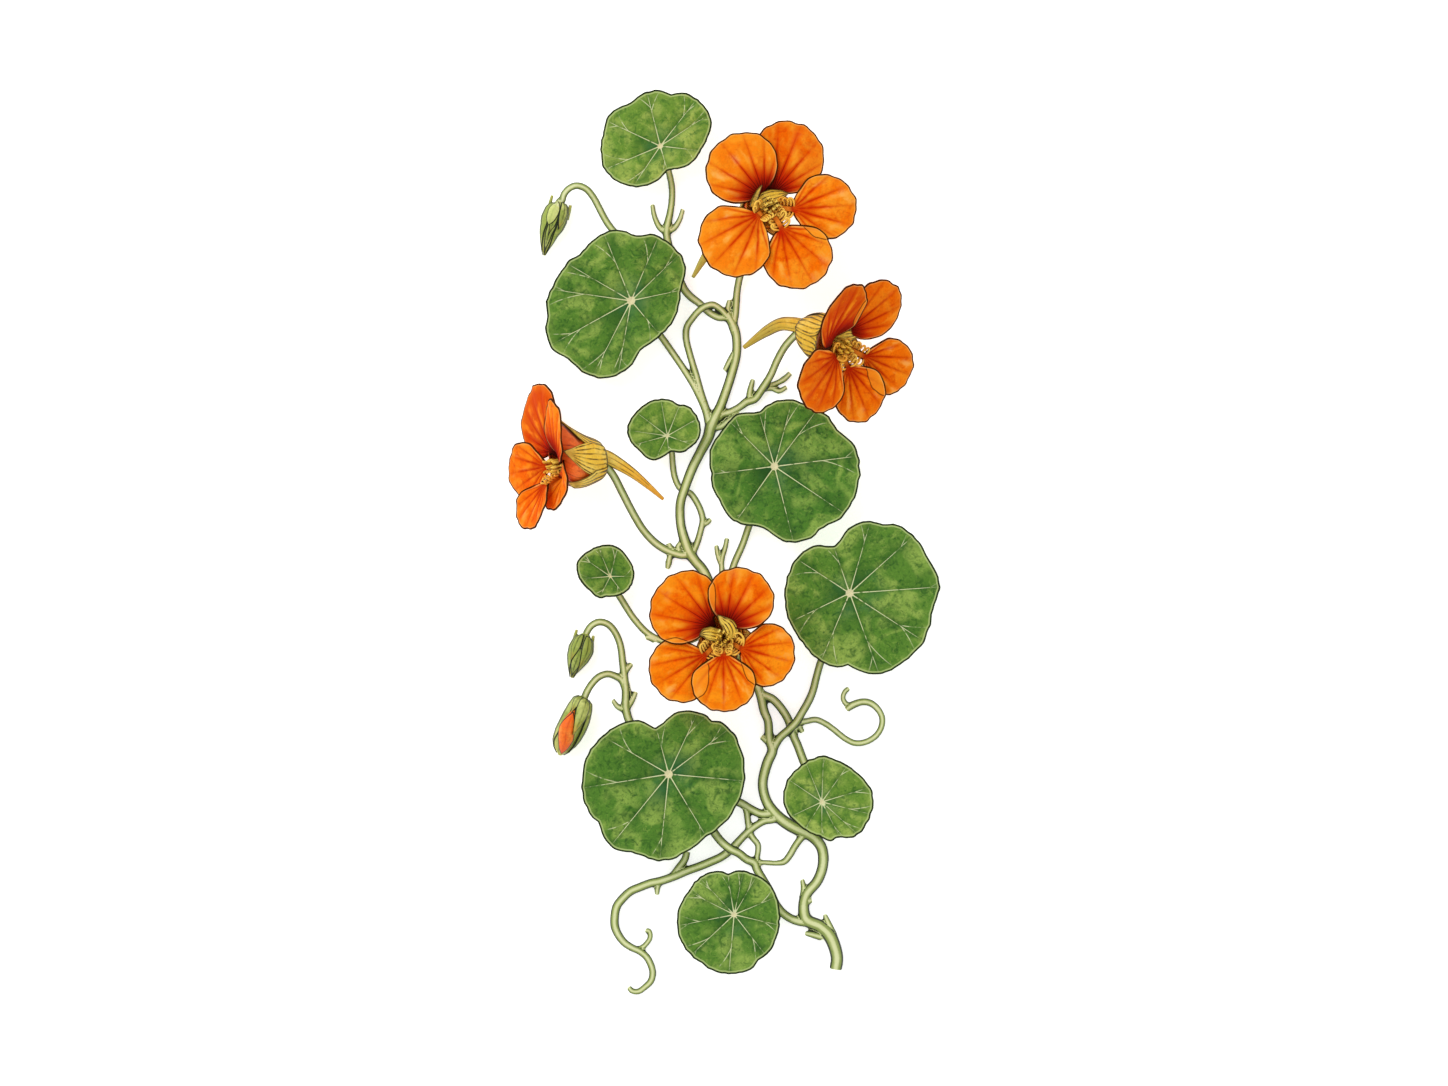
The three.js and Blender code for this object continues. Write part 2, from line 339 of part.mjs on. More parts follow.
function welded(geometry) {
  const bare = geometry.clone();
  bare.deleteAttribute("normal");
  bare.deleteAttribute("uv");
  const merged = mergeVertices(bare, 1e-4);
  const old = merged.index.array;
  const faces = [];
  for (let i = 0; i < old.length; i += 3) {
    const [a, b, c] = [old[i], old[i + 1], old[i + 2]];
    if (a !== b && b !== c && c !== a) faces.push(a, b, c);
  }
  merged.setIndex(faces);
  return merged;
}

function solidFrom(vertProperties, triVerts) {
  const mesh = { numProp: 3, vertProperties: new Float32Array(vertProperties), triVerts: new Uint32Array(triVerts) };
  return new wasm.Manifold(new wasm.Mesh(mesh));
}

function solid(geometry) {
  const whole = welded(geometry);
  return solidFrom(whole.attributes.position.array, whole.index.array);
}

// Gives an open sheet its thickness: both faces keep the same triangles, and a wall closes
// every edge that belongs to one triangle alone.
function thicken(sheet, thickness) {
  const skin = welded(sheet);
  skin.computeVertexNormals();
  const place = skin.attributes.position;
  const normal = skin.attributes.normal;
  const faces = skin.index.array;
  const count = place.count;
  const points = [];
  for (const side of [0.5, -0.5]) {
    for (let i = 0; i < count; i += 1) {
      const away = side * thickness;
      points.push(place.getX(i) + away * normal.getX(i));
      points.push(place.getY(i) + away * normal.getY(i));
      points.push(place.getZ(i) + away * normal.getZ(i));
    }
  }
  const edges = new Set();
  const triangles = [];
  for (let i = 0; i < faces.length; i += 3) {
    const [a, b, c] = [faces[i], faces[i + 1], faces[i + 2]];
    triangles.push(a, b, c, count + c, count + b, count + a);
    for (const [from, to] of [[a, b], [b, c], [c, a]]) edges.add(`${from} ${to}`);
  }
  for (const edge of edges) {
    const [from, to] = edge.split(" ").map(Number);
    if (edges.has(`${to} ${from}`)) continue;
    triangles.push(to, from, count + from, to, count + from, count + to);
  }
  return solidFrom(points, triangles);
}

// A sheet with `columns` by `rows` quads whose points come from surface(u, v).
function sheet(columns, rows, surface) {
  const plane = new THREE.PlaneGeometry(1, 1, columns, rows);
  const { position, uv } = plane.attributes;
  for (let i = 0; i < position.count; i += 1) {
    position.setXYZ(i, ...surface(uv.getX(i), uv.getY(i)));
  }
  return plane;
}

// A tube along a smooth route, with the thickness given at each route point. `up` is a direction
// that the route never takes.
function tube(route, sides, detail, { grow = 0, ridge = 0, clear = LYING_CLEAR, up = UP } = {}) {
  const heights = ([, , across, height]) => height ?? (across / 2) * Math.cos(FLAT_ANGLE) + clear;
  const centres = route.map((point) => new THREE.Vector3(point[0], point[1], heights(point)));
  const curve = new THREE.CatmullRomCurve3(centres, false, "centripetal");
  const steps = Math.ceil(detail * (route.length - 1));
  const cylinder = new THREE.CylinderGeometry(1, 1, 1, sides, steps, false, Math.PI / sides);
  const place = cylinder.attributes.position;
  for (let i = 0; i < place.count; i += 1) {
    const t = place.getY(i) + 0.5;
    const before = Math.min(Math.floor(t * (route.length - 1)), route.length - 2);
    const between = t * (route.length - 1) - before;
    const across = THREE.MathUtils.lerp(route[before][2], route[before + 1][2], between);
    const turn = Math.atan2(place.getX(i), place.getZ(i));
    const radius = (across / 2 + grow) * (1 - ridge * Math.abs(Math.sin(2.5 * turn)));
    const ahead = curve.getTangent(t);
    const side = new THREE.Vector3().crossVectors(ahead, up).normalize();
    const lift = new THREE.Vector3().crossVectors(side, ahead);
    const point = curve.getPoint(t);
    if (t === 0 || t === 1) point.addScaledVector(ahead, grow * (2 * t - 1));
    point.addScaledVector(side, radius * place.getX(i));
    point.addScaledVector(lift, radius * place.getZ(i));
    place.setXYZ(i, point.x, point.y, point.z);
  }
  return solid(cylinder);
}

// The largest body of a solid, without the scraps that a cut can leave.
function largest(body) {
  const bodies = body.decompose();
  return bodies.reduce((best, next) => (next.volume() > best.volume() ? next : best));
}

const meshes = [];

function piece(name, body, material, parent) {
  const { vertProperties, triVerts } = body.getMesh();
  const geometry = new THREE.BufferGeometry();
  geometry.setAttribute("position", new THREE.BufferAttribute(vertProperties, 3));
  geometry.setIndex(new THREE.BufferAttribute(triVerts, 1));
  const mesh = new THREE.Mesh(geometry, material);
  mesh.name = name;
  parent.add(mesh);
  meshes.push(mesh);
}

// ---------------------------------------------------------------- leaves
// The edge's distance at an angle, as a smooth curve through the listed points.
function edgeAt(edge, degrees) {
  const turn = ((degrees % 360) + 360) % 360;
  const found = edge.findIndex(([angle]) => angle > turn);
  const after = found < 0 ? edge.length : found;
  const at = (step) => {
    const lap = Math.floor((after + step) / edge.length);
    const [angle, reach] = edge[after + step - lap * edge.length];
    return [angle + 360 * lap, reach];
  };
  const [[a0, r0], [a1, r1], [a2, r2], [a3, r3]] = [at(-2), at(-1), at(0), at(1)];
  const f = (turn - a1) / (a2 - a1);
  const start = ((r2 - r0) / (a2 - a0)) * (a2 - a1);
  const end = ((r3 - r1) / (a3 - a1)) * (a2 - a1);
  return r1 + f * (start + f * (3 * (r2 - r1) - 2 * start - end + f * (2 * (r1 - r2) + start + end)));
}

function leafPoint({ centre, slope, veins, edge }, phase, reach) {
  const vein = Math.floor(phase) % veins.length;
  const between = phase - Math.floor(phase);
  const next = vein + 1 < veins.length ? veins[vein + 1] : veins[0] + 360;
  const degrees = THREE.MathUtils.lerp(veins[vein], next, between);
  const turn = THREE.MathUtils.degToRad(degrees);
  const radius = edgeAt(edge, degrees) * reach;
  const x = radius * Math.cos(turn);
  const y = radius * Math.sin(turn);
  const dish = LEAF_DISH * (1 - (1 - reach) ** 2);
  const puff = LEAF_PUFF * Math.sin(Math.PI * between) * reach * (1.6 - reach);
  const wave = LEAF_WAVE * Math.sin(3 * turn + centre[0]) * reach ** 2;
  const z = centre[2] + dish + puff + wave + slope[0] * x + slope[1] * y;
  return [centre[0] + x, centre[1] + y, z];
}

function leafSheet(leaf) {
  const turns = leaf.veins.length;
  const surface = (u, v) => leafPoint(leaf, turns * (1 - u), v);
  return sheet(turns * leaf.split, LEAF_ROWS, surface);
}

// ---------------------------------------------------------------- flowers
function flowerFrame({ throat, faces, top }) {
  const z = new THREE.Vector3(...faces).normalize();
  const y = new THREE.Vector3(...top).addScaledVector(z, -new THREE.Vector3(...top).dot(z)).normalize();
  const x = new THREE.Vector3().crossVectors(y, z);
  const frame = new THREE.Group();
  frame.matrix.makeBasis(x, y, z).setPosition(...throat);
  frame.matrix.decompose(frame.position, frame.quaternion, frame.scale);
  frame.updateMatrixWorld();
  return frame;
}

// Height of the petals' common trumpet at a distance from the flower's axis.
function trumpet(radius, spread) {
  const dive = Math.max(0, 1 - radius / THROAT_RADIUS);
  return radius * Math.cos(spread) - THROAT_DEPTH * dive ** 2;
}

function petalPoint(petal, u, row) {
  const side = 2 * u - 1;
  const turn = THREE.MathUtils.degToRad(petal.turn);
  const aim = THREE.MathUtils.degToRad(petal.aim);
  const spread = THREE.MathUtils.degToRad(petal.spread);
  const [base, neck] = row === 0 ? [PETAL_ROOT, ROOT_WIDTH] : [petal.claw, petal.neck];
  const blade = Math.max(0, row);
  const fan = THREE.MathUtils.degToRad(84) * side;
  const along = petal.length * Math.cos(fan) ** 2 * blade;
  const across = (neck / 2) * side * (1 - 0.6 * blade) + (petal.width / 2) * Math.sin(2 * fan) * blade;
  const x = base * Math.cos(turn) + along * Math.cos(aim) + across * Math.sin(aim);
  const y = base * Math.sin(turn) + along * Math.sin(aim) - across * Math.cos(aim);
  const radius = Math.hypot(x, y);
  const layer = LIFT * petal.layer * Math.min(1, radius / 5);
  const ruffle = PETAL_RUFFLE * blade ** 3 * Math.sin(9 * side);
  const curl = PETAL_CURL * (radius / 28) ** 3;
  return [x * Math.sin(spread), y * Math.sin(spread), trumpet(radius, spread) + layer + ruffle - curl];
}

const PETAL_COLUMNS = 12;
const PETAL_ROWS = [0, 0.001, 0.55, 1]; // root, claw's end, then the blade

function petalSolid(petal) {
  const rows = PETAL_ROWS.length - 1;
  return thicken(sheet(PETAL_COLUMNS, rows, (u, v) => petalPoint(petal, u, PETAL_ROWS[Math.round(v * rows)])), PETAL_THICKNESS);
}

const CUP_PROFILE = [[0, -1], [0.55, -0.9], [0.95, -0.56], [1, -0.14]];

// The cup of five fused sepals, whose tips spread behind the petals.
function cupSheet({ lean, flare }) {
  return sheet(20, CUP_PROFILE.length, (u, v) => {
    const turn = -2 * Math.PI * u;
    const step = Math.round(v * CUP_PROFILE.length);
    const tip = Math.abs(Math.cos(2.5 * turn));
    const reach = CUP_RADIUS + 0.4 + (SEPAL_REACH - CUP_RADIUS) * tip;
    const [radius, height] = step < CUP_PROFILE.length
      ? [CUP_PROFILE[step][0] * CUP_RADIUS, CUP_PROFILE[step][1] * CUP_DEPTH]
      : [reach, -SEPAL_DROP];
    const bend = (height / CUP_DEPTH) ** 2;
    const open = (1 + height / CUP_DEPTH) ** 2;
    const x = radius * Math.cos(turn) + lean[0] * bend + flare[0] * open;
    const y = radius * Math.sin(turn) + lean[1] * bend + flare[1] * open;
    return [x, y, height];
  });
}

function calyxSolid(flower, grow) {
  const cup = thicken(cupSheet(flower), SEPAL_THICKNESS + 2 * grow);
  return cup.add(tube(flower.spur, STEM_SIDES, 1, { grow }));
}

// Eight stamens and the style rise from one small seat at the bottom of the cup.
function stamenSolid({ lean }) {
  const seat = 0.7 * CUP_DEPTH;
  const [shiftX, shiftY] = [lean[0] * 0.45, lean[1] * 0.45];
  const seatRoute = [[shiftX, shiftY, 3.2, -seat - 1.4], [shiftX, shiftY, 3.2, -seat + 0.8]];
  let body = tube(seatRoute, 6, 1, { up: new THREE.Vector3(1, 0, 0) });
  for (let i = 0; i < 9; i += 1) {
    const turn = THREE.MathUtils.degToRad(-172 + 41 * i);
    const reach = i === 8 ? 0.6 : 1.9 + 0.6 * Math.abs(Math.sin(2.1 * i));
    const tip = i === 8 ? 8 : 5.4 + 1.2 * Math.cos(1.7 * i);
    const [x, y] = [Math.cos(turn), Math.sin(turn)];
    const route = [[shiftX + 0.6 * x, shiftY + 0.6 * y, 0.9, -seat], [1.8 * x, 1.8 * y, 0.9, -1],
      [reach * x, reach * y - 0.2, 0.9, tip - 1.2], [reach * x, reach * y - 0.3, 1.6, tip]];
    body = body.add(tube(route, 3, 1, { up: new THREE.Vector3(-y, x, 0) }));
  }
  return body;
}

// ---------------------------------------------------------------- the whole shoot
const plant = new THREE.Group();
const cutters = [];

for (const [name, leaf] of Object.entries(LEAVES)) {
  piece(name, thicken(leafSheet(leaf), LEAF_THICKNESS), leafGreen, plant);
}

const cupBottoms = {};
for (const [name, flower] of Object.entries(FLOWERS)) {
  const frame = flowerFrame(flower);
  plant.add(frame);
  for (const [petalName, petal] of Object.entries(flower.petals)) {
    piece(`${name}_petal_${petalName}`, petalSolid(petal), petalOrange, frame);
  }
  piece(`${name}_calyx`, largest(calyxSolid(flower, 0)), calyxYellow, frame);
  piece(`${name}_stamens`, stamenSolid(flower), stamenYellow, frame);
  cutters.push(calyxSolid(flower, GAP).transform(frame.matrixWorld.elements));
  const bottom = new THREE.Vector3(flower.lean[0], flower.lean[1], -CUP_DEPTH).applyMatrix4(frame.matrixWorld);
  cupBottoms[name] = [bottom.x, bottom.y, 2.5, bottom.z];
}

const budBodies = {};
for (const [name, route] of Object.entries(BUDS)) {
  budBodies[name] = tube(route, BUD_SIDES, 1, { ridge: 0.08 });
  for (const tip of SEPAL_TIPS[name] ?? []) budBodies[name] = budBodies[name].add(tube(tip, 3, 1));
  cutters.push(tube(route, BUD_SIDES, 1, { grow: GAP }));
}
const budPetals = tube(BUD_3_PETALS, 8, 1);
budBodies.bud_3_calyx = largest(budBodies.bud_3_calyx.subtract(tube(BUD_3_PETALS, 8, 1, { grow: GAP })));
for (const [name, body] of Object.entries(budBodies)) piece(name, body, budGreen, plant);
piece("bud_3_petals", budPetals, petalOrange, plant);

const leafStalks = Object.entries(LEAF_STALKS).map(([name, route]) => {
  const [x, y, z] = LEAVES[name].centre;
  return [...route, [x, y, 2.3, z - LEAF_SEAT - 1.4], [x, y, 2.3, z - LEAF_SEAT]];
});
const flowerStalks = Object.entries(FLOWER_STALKS).map(([name, route]) => [...route, cupBottoms[name]]);
const { main_stem: mainStem, ...sideStems } = STEMS;
const parts = [
  tube(mainStem, STEM_SIDES, STEM_DETAIL, { clear: -PRESSED_FLAT }),
  ...[...Object.values(sideStems), ...leafStalks, ...flowerStalks].map((route) => tube(route, STEM_SIDES, STEM_DETAIL)),
  ...Object.values(TWIGS).map((route) => tube(route, TWIG_SIDES, 1)),
];
const below = new THREE.BoxGeometry(600, 600, 10);
below.translate(0, 0, -5);
const surface = solid(below);
const vine = cutters.reduce((body, cutter) => body.subtract(cutter), wasm.Manifold.union(parts).subtract(surface));
piece("vine", largest(vine), stemGreen, plant);

export default plant;
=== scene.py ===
# %% [markdown]
# # A cut nasturtium shoot
#
# The shoot is one branched, juicy stem with round leaves held up on long stalks, four spurred
# flowers, three nodding buds and curled tendrils. It lies on a table and is looked at from above.
#
# Every piece below is worked out in millimetres, in the frame of the plain solids, and stands for the
# solid of its name, so nothing has to be fitted afterwards. Most pieces share their solid's sizes.
# Stems are a little fuller, and buds, some petals and one cup have lines of their own.

# %% Load the frame and note its size
import math

import bmesh
import bpy
from mathutils import Matrix, Vector, noise
from mathutils.kdtree import KDTree


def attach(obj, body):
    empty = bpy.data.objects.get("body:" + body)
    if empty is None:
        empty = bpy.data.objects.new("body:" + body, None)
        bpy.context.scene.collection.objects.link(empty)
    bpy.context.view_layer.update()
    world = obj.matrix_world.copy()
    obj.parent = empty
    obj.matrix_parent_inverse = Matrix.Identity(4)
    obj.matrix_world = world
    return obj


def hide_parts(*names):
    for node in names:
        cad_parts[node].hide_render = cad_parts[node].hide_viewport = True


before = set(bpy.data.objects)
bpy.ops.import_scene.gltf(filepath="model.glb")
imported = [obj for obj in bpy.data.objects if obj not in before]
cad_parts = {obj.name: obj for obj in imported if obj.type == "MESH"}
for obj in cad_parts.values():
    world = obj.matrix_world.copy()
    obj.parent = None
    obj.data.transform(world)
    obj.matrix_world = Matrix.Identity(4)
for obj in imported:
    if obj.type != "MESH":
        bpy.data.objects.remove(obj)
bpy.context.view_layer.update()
MM = 0.001
BODY = "root"
print("solids in the frame:", len(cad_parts))

# %% [markdown]
# ## The view
#
# A shoot that was laid out flat is best seen from straight above. A camera without perspective would
# flatten it fully. A long lens far away comes close to that and stays a real view: a flower that
# stands 30 mm up grows by less than one part in a hundred.

# %% Camera, straight above the shoot
VIEW_WIDTH = 521.28
CAMERA_HEIGHT = 4343.0
CAMERA_X = 0.36
SENSOR = 36.0

camera_data = bpy.data.cameras.new("camera")
camera_data.sensor_width = SENSOR
camera_data.lens = SENSOR * CAMERA_HEIGHT / VIEW_WIDTH
camera = bpy.data.objects.new("camera", camera_data)
camera.location = (CAMERA_X * MM, 0, CAMERA_HEIGHT * MM)
bpy.context.scene.collection.objects.link(camera)
bpy.context.scene.camera = camera
print("lens:", round(camera_data.lens, 1), "mm")

# %% [markdown]
# ## Light and table
#
# A plant laid out for study is lit from all around, with hardly a shadow. A ring of lamps could do
# it. A bright even sky is simpler, and one wide lamp from the upper left lets veins and folds show.
# The table glows a little of its own, which keeps the shadows on it faint.

# %% Sky, lamp and table
SKY_STRENGTH = 0.72
LAMP_POWER = 12.0
LAMP_SIZE = 0.9
LAMP_PLACE = Vector((-0.75, 0.75, 1.5))
TABLE_GLOW = 0.6
TABLE_SIZE = 6.0
TABLE_DEPTH = 0.03

scene = bpy.context.scene
scene.view_settings.view_transform = "Standard"
world = bpy.data.worlds.new("sky")
world.use_nodes = True
world.node_tree.nodes["Background"].inputs["Color"].default_value = (1, 1, 1, 1)
world.node_tree.nodes["Background"].inputs["Strength"].default_value = SKY_STRENGTH
scene.world = world

lamp_data = bpy.data.lights.new("lamp", "AREA")
lamp_data.energy = LAMP_POWER
lamp_data.size = LAMP_SIZE
lamp = bpy.data.objects.new("lamp", lamp_data)
lamp.location = LAMP_PLACE
lamp.rotation_euler = (-LAMP_PLACE).to_track_quat("-Z", "Y").to_euler()
scene.collection.objects.link(lamp)

table_bm = bmesh.new()
bmesh.ops.create_grid(table_bm, x_segments=1, y_segments=1, size=TABLE_SIZE / 2)
bmesh.ops.translate(table_bm, verts=table_bm.verts, vec=(0, 0, -TABLE_DEPTH * MM))
table_mesh = bpy.data.meshes.new("table")
table_bm.to_mesh(table_mesh)
table_bm.free()
table = bpy.data.objects.new("table", table_mesh)
scene.collection.objects.link(table)

table_paint = bpy.data.materials.new("table_white")
table_paint.use_nodes = True
table_shader = table_paint.node_tree.nodes["Principled BSDF"]
table_shader.inputs["Base Color"].default_value = (0.9, 0.9, 0.9, 1)
table_shader.inputs["Roughness"].default_value = 0.9
table_shader.inputs["Emission Color"].default_value = (1, 1, 1, 1)
table_shader.inputs["Emission Strength"].default_value = TABLE_GLOW
table.data.materials.append(table_paint)

# %% [markdown]
# ## Painting with nodes
#
# The finishes below are all made of the same few strokes: a value that is worked out, a soft line
# at a distance, and one colour laid over another. A short function for each keeps the recipes
# readable.

# %% Helpers that add nodes to a material or a group


def colour(hex_code):
    """A colour given as on a paint chart, in the renderer's linear values."""
    parts = [int(hex_code[i:i + 2], 16) / 255 for i in (0, 2, 4)]
    return tuple(p / 12.92 if p <= 0.04045 else ((p + 0.055) / 1.055) ** 2.4 for p in parts) + (1.0,)


def put(tree, kind, **settings):
    """A new node with these settings."""
    node = tree.nodes.new(kind)
    for key, value in settings.items():
        setattr(node, key, value)
    return node


def feed(tree, socket, value):
    """Gives an input a link if the value is an output, and a plain number or colour otherwise."""
    if isinstance(value, bpy.types.NodeSocket):
        tree.links.new(value, socket)
    else:
        socket.default_value = value


def calc(tree, operation, *values, clamp=False):
    """One step of arithmetic."""
    node = put(tree, "ShaderNodeMath", operation=operation, use_clamp=clamp)
    for socket, value in zip(node.inputs, values):
        feed(tree, socket, value)
    return node.outputs[0]


def times(tree, *values, clamp=False):
    """The product of two or more values."""
    product = values[0]
    for value in values[1:]:
        product = calc(tree, "MULTIPLY", product, value, clamp=clamp)
    return product


def apart(tree, first, second):
    """How far two values are from each other."""
    return calc(tree, "ABSOLUTE", calc(tree, "SUBTRACT", first, second))


def between(tree, value, low, high, first=0.0, last=1.0):
    """A soft step from first to last as value goes from low to high."""
    node = put(tree, "ShaderNodeMapRange", interpolation_type="SMOOTHSTEP")
    for name, item in (("Value", value), ("From Min", low), ("From Max", high),
                       ("To Min", first), ("To Max", last)):
        feed(tree, node.inputs[name], item)
    return node.outputs[0]


def over(tree, share, under, upper, mode="MIX"):
    """Lays the upper colour over the one under it, by that share."""
    node = put(tree, "ShaderNodeMix", data_type="RGBA", blend_type=mode)
    for index, item in ((0, share), (6, under), (7, upper)):
        feed(tree, node.inputs[index], item)
    return node.outputs[2]


def speckle(tree, size, detail=2.0, distortion=0.0):
    """Cloudy noise with clouds of about that size in millimetres, from 0 to 1."""
    place = put(tree, "ShaderNodeTexCoord")
    node = put(tree, "ShaderNodeTexNoise")
    node.inputs["Scale"].default_value = 1 / (size * MM)
    node.inputs["Detail"].default_value = detail
    node.inputs["Distortion"].default_value = distortion
    tree.links.new(place.outputs["Object"], node.inputs["Vector"])
    return node.outputs["Fac"]


def measure(tree, name):
    """A number that the mesh carries at each of its points."""
    return put(tree, "ShaderNodeAttribute", attribute_name=name).outputs["Fac"]


def new_group(name, inputs, outputs):
    """An empty shader node group with named sockets, and its two end nodes."""
    group = bpy.data.node_groups.new(name, "ShaderNodeTree")
    for label, kind, default in inputs:
        socket = group.interface.new_socket(label, in_out="INPUT", socket_type="NodeSocket" + kind)
        socket.default_value = default
    for label, kind in outputs:
        group.interface.new_socket(label, in_out="OUTPUT", socket_type="NodeSocket" + kind)
    return group, group.nodes.new("NodeGroupInput"), group.nodes.new("NodeGroupOutput")


def use(tree, group, **values):
    """Places a group in a material. Words of a socket's name are joined by an underscore."""
    node = put(tree, "ShaderNodeGroup", node_tree=group)
    for key, value in values.items():
        feed(tree, node.inputs[key.replace("_", " ")], value)
    return node.outputs


# %% [markdown]
# ## Watercolour-like pigment
#
# Living tissue is never one colour. A wash mixes three tones of a colour in clouds of two sizes and
# adds a fine grain. A painted image could be laid on instead, but noise that is measured in
# millimetres has no seams and stays sharp from near. Leaves, petals, sepals and stems all use it.

# %% Group: a wash of three tones
WASH_CLOUD = 9.0
WASH_STROKE = 3.2
WASH_GRAIN = 0.7
STROKE_SHARE = 0.7

wash, wash_in, wash_out = new_group(
    "pigment wash",
    [("Light", "Color", (1, 1, 1, 1)), ("Middle", "Color", (0.5, 0.5, 0.5, 1)),
     ("Deep", "Color", (0, 0, 0, 1)), ("Contrast", "Float", 1.0)],
    [("Color", "Color"), ("Grain", "Float")])
cloud = between(wash, speckle(wash, WASH_CLOUD, 3, 0.8), 0.44, 0.66)
stroke = between(wash, speckle(wash, WASH_STROKE, 4, 1.2), 0.5, 0.72)
grain = speckle(wash, WASH_GRAIN, 2)
contrast = wash_in.outputs["Contrast"]
toned = over(wash, times(wash, cloud, contrast), wash_in.outputs["Middle"], wash_in.outputs["Light"])
strokes = times(wash, stroke, times(wash, contrast, STROKE_SHARE))
toned = over(wash, strokes, toned, wash_in.outputs["Deep"])
shaded = between(wash, grain, 0.25, 0.75, 0.9, 1.08)
shade_node = put(wash, "ShaderNodeCombineColor")
for channel in range(3):
    feed(wash, shade_node.inputs[channel], shaded)
toned = over(wash, 1.0, toned, shade_node.outputs[0], "MULTIPLY")
feed(wash, wash_out.inputs["Color"], toned)
feed(wash, wash_out.inputs["Grain"], grain)
print("group:", wash.name)

# %% [markdown]
# A line is drawn where a measured distance is small: full inside its half width, and gone after
# the soft edge. Veins, streaks and margins are such lines, with distances in millimetres that each
# mesh carries. Cutting them into the mesh as well would take many times its faces.

# %% Group: a line at a distance
line, line_in, line_out = new_group(
    "soft line",
    [("Distance", "Float", 1.0), ("Half Width", "Float", 0.2), ("Soft Edge", "Float", 0.1)],
    [("Mask", "Float")])
line_end = calc(line, "ADD", line_in.outputs["Half Width"], line_in.outputs["Soft Edge"])
feed(line, line_out.inputs["Mask"],
     between(line, line_in.outputs["Distance"], line_in.outputs["Half Width"], line_end, 1.0, 0.0))
print("group:", line.name)

# %% [markdown]
# Every finish begins with an empty material and ends in the same way: a colour, a roughness that
# follows the grain, a faint bump in the furrows and a little gloss go to the shader. Living tissue has
# finer relief than a mesh should carry, so a bump of a tenth of a millimetre stands for it.

# %% Helpers that begin and end a finish


def line_at(tree, distance, half_width, soft_edge):
    """Mask of a soft line where that distance is small."""
    return use(tree, line, Distance=distance, Half_Width=half_width, Soft_Edge=soft_edge)["Mask"]


def new_finish(name):
    """An empty material and its node tree."""
    material = bpy.data.materials.new(name)
    material.use_nodes = True
    return material, material.node_tree


def end_finish(tree, base, grain, furrows, rough, strength, depth, gloss):
    """Feeds the shader: colour, roughness from the grain, a bump in the furrows, and gloss."""
    shader = tree.nodes["Principled BSDF"]
    feed(tree, shader.inputs["Base Color"], base)
    feed(tree, shader.inputs["Roughness"], between(tree, grain, 0.2, 0.8, *rough))
    bump = put(tree, "ShaderNodeBump")
    bump.inputs["Strength"].default_value = strength
    bump.inputs["Distance"].default_value = depth * MM
    feed(tree, bump.inputs["Height"], calc(tree, "SUBTRACT", grain, furrows))
    feed(tree, shader.inputs["Normal"], bump.outputs["Normal"])
    shader.inputs["Specular IOR Level"].default_value = gloss


# %% [markdown]
# ## From a flat grid to a blade
#
# Leaves, petals and sepals are all thin blades. Each begins as a flat grid from the operator, whose
# points are then moved to the blade's surface by a formula, with the measures for the finish kept
# at each point. Solidify gives it a thickness with its own finish underneath, and sharp edges keep
# the faces from shading round the rim.

# %% Helpers that make blades and pieces
SHARP_ANGLE = math.radians(50)


def blade_grid(columns, rows, surface, measures):
    """A bmesh sheet. surface(u, v) gives a point in millimetres and a value for each measure."""
    bm = bmesh.new()
    layers = [bm.verts.layers.float.new(name) for name in measures]
    bmesh.ops.create_grid(bm, x_segments=columns, y_segments=rows, size=0.5)
    for vert in bm.verts:
        place, values = surface(vert.co.x + 0.5, vert.co.y + 0.5)
        vert.co = Vector(place) * MM
        for layer, value in zip(layers, values):
            vert[layer] = value
    bmesh.ops.remove_doubles(bm, verts=bm.verts, dist=1e-7)
    return bm


def rim_distance(bm, name="rim"):
    """Keeps at each point how far it is from the blade's margin, in millimetres."""
    layer = bm.verts.layers.float.new(name)
    margin = [v for v in bm.verts if v.is_boundary]
    tree = KDTree(len(margin) * 3)
    for index, vert in enumerate(margin):
        after = [e.other_vert(vert).co for e in vert.link_edges if e.is_boundary]
        tree.insert(vert.co, 3 * index)
        for step, other in enumerate(after[:2]):
            tree.insert(vert.co.lerp(other, 1 / 3), 3 * index + 1 + step)
    tree.balance()
    for vert in bm.verts:
        vert[layer] = 0.0 if vert.is_boundary else tree.find(vert.co)[2] / MM


def steepness(bm, narrow=1.0, name="edge"):
    """Keeps at each point how steep the surface is, from level at 0 to upright at 1."""
    bm.normal_update()
    layer = bm.verts.layers.float.new(name)
    for vert in bm.verts:
        vert[layer] = max(0.0, 1 - vert.normal.z ** 2) ** (0.5 * narrow)


def to_object(bm, name, materials):
    """A new object with this mesh and these finishes."""
    mesh = bpy.data.meshes.new(name)
    for face in bm.faces:
        face.smooth = True
    bm.to_mesh(mesh)
    bm.free()
    for material in materials:
        mesh.materials.append(material)
    piece = bpy.data.objects.new(name, mesh)
    scene.collection.objects.link(piece)
    return piece


def applied(piece):
    """Puts the modifiers' result in the mesh, and marks its sharp edges."""
    seen = piece.evaluated_get(bpy.context.evaluated_depsgraph_get())
    mesh = bpy.data.meshes.new_from_object(seen)
    piece.modifiers.clear()
    piece.data = mesh
    mesh.set_sharp_from_angle(angle=SHARP_ANGLE)
    return piece


def thickened(piece, thickness):
    """Gives a blade its thickness, half to each side. Its underside takes the next finish."""
    solid = piece.modifiers.new("thickness", "SOLIDIFY")
    solid.thickness = thickness * MM
    solid.offset = 0
    solid.material_offset = 1
    return applied(piece)


def moved(bm, matrix):
    """Turns and moves a bmesh whose matrix is in millimetres."""
    place = matrix.copy()
    place.translation = matrix.translation * MM
    bmesh.ops.transform(bm, matrix=place, verts=bm.verts)
    return bm


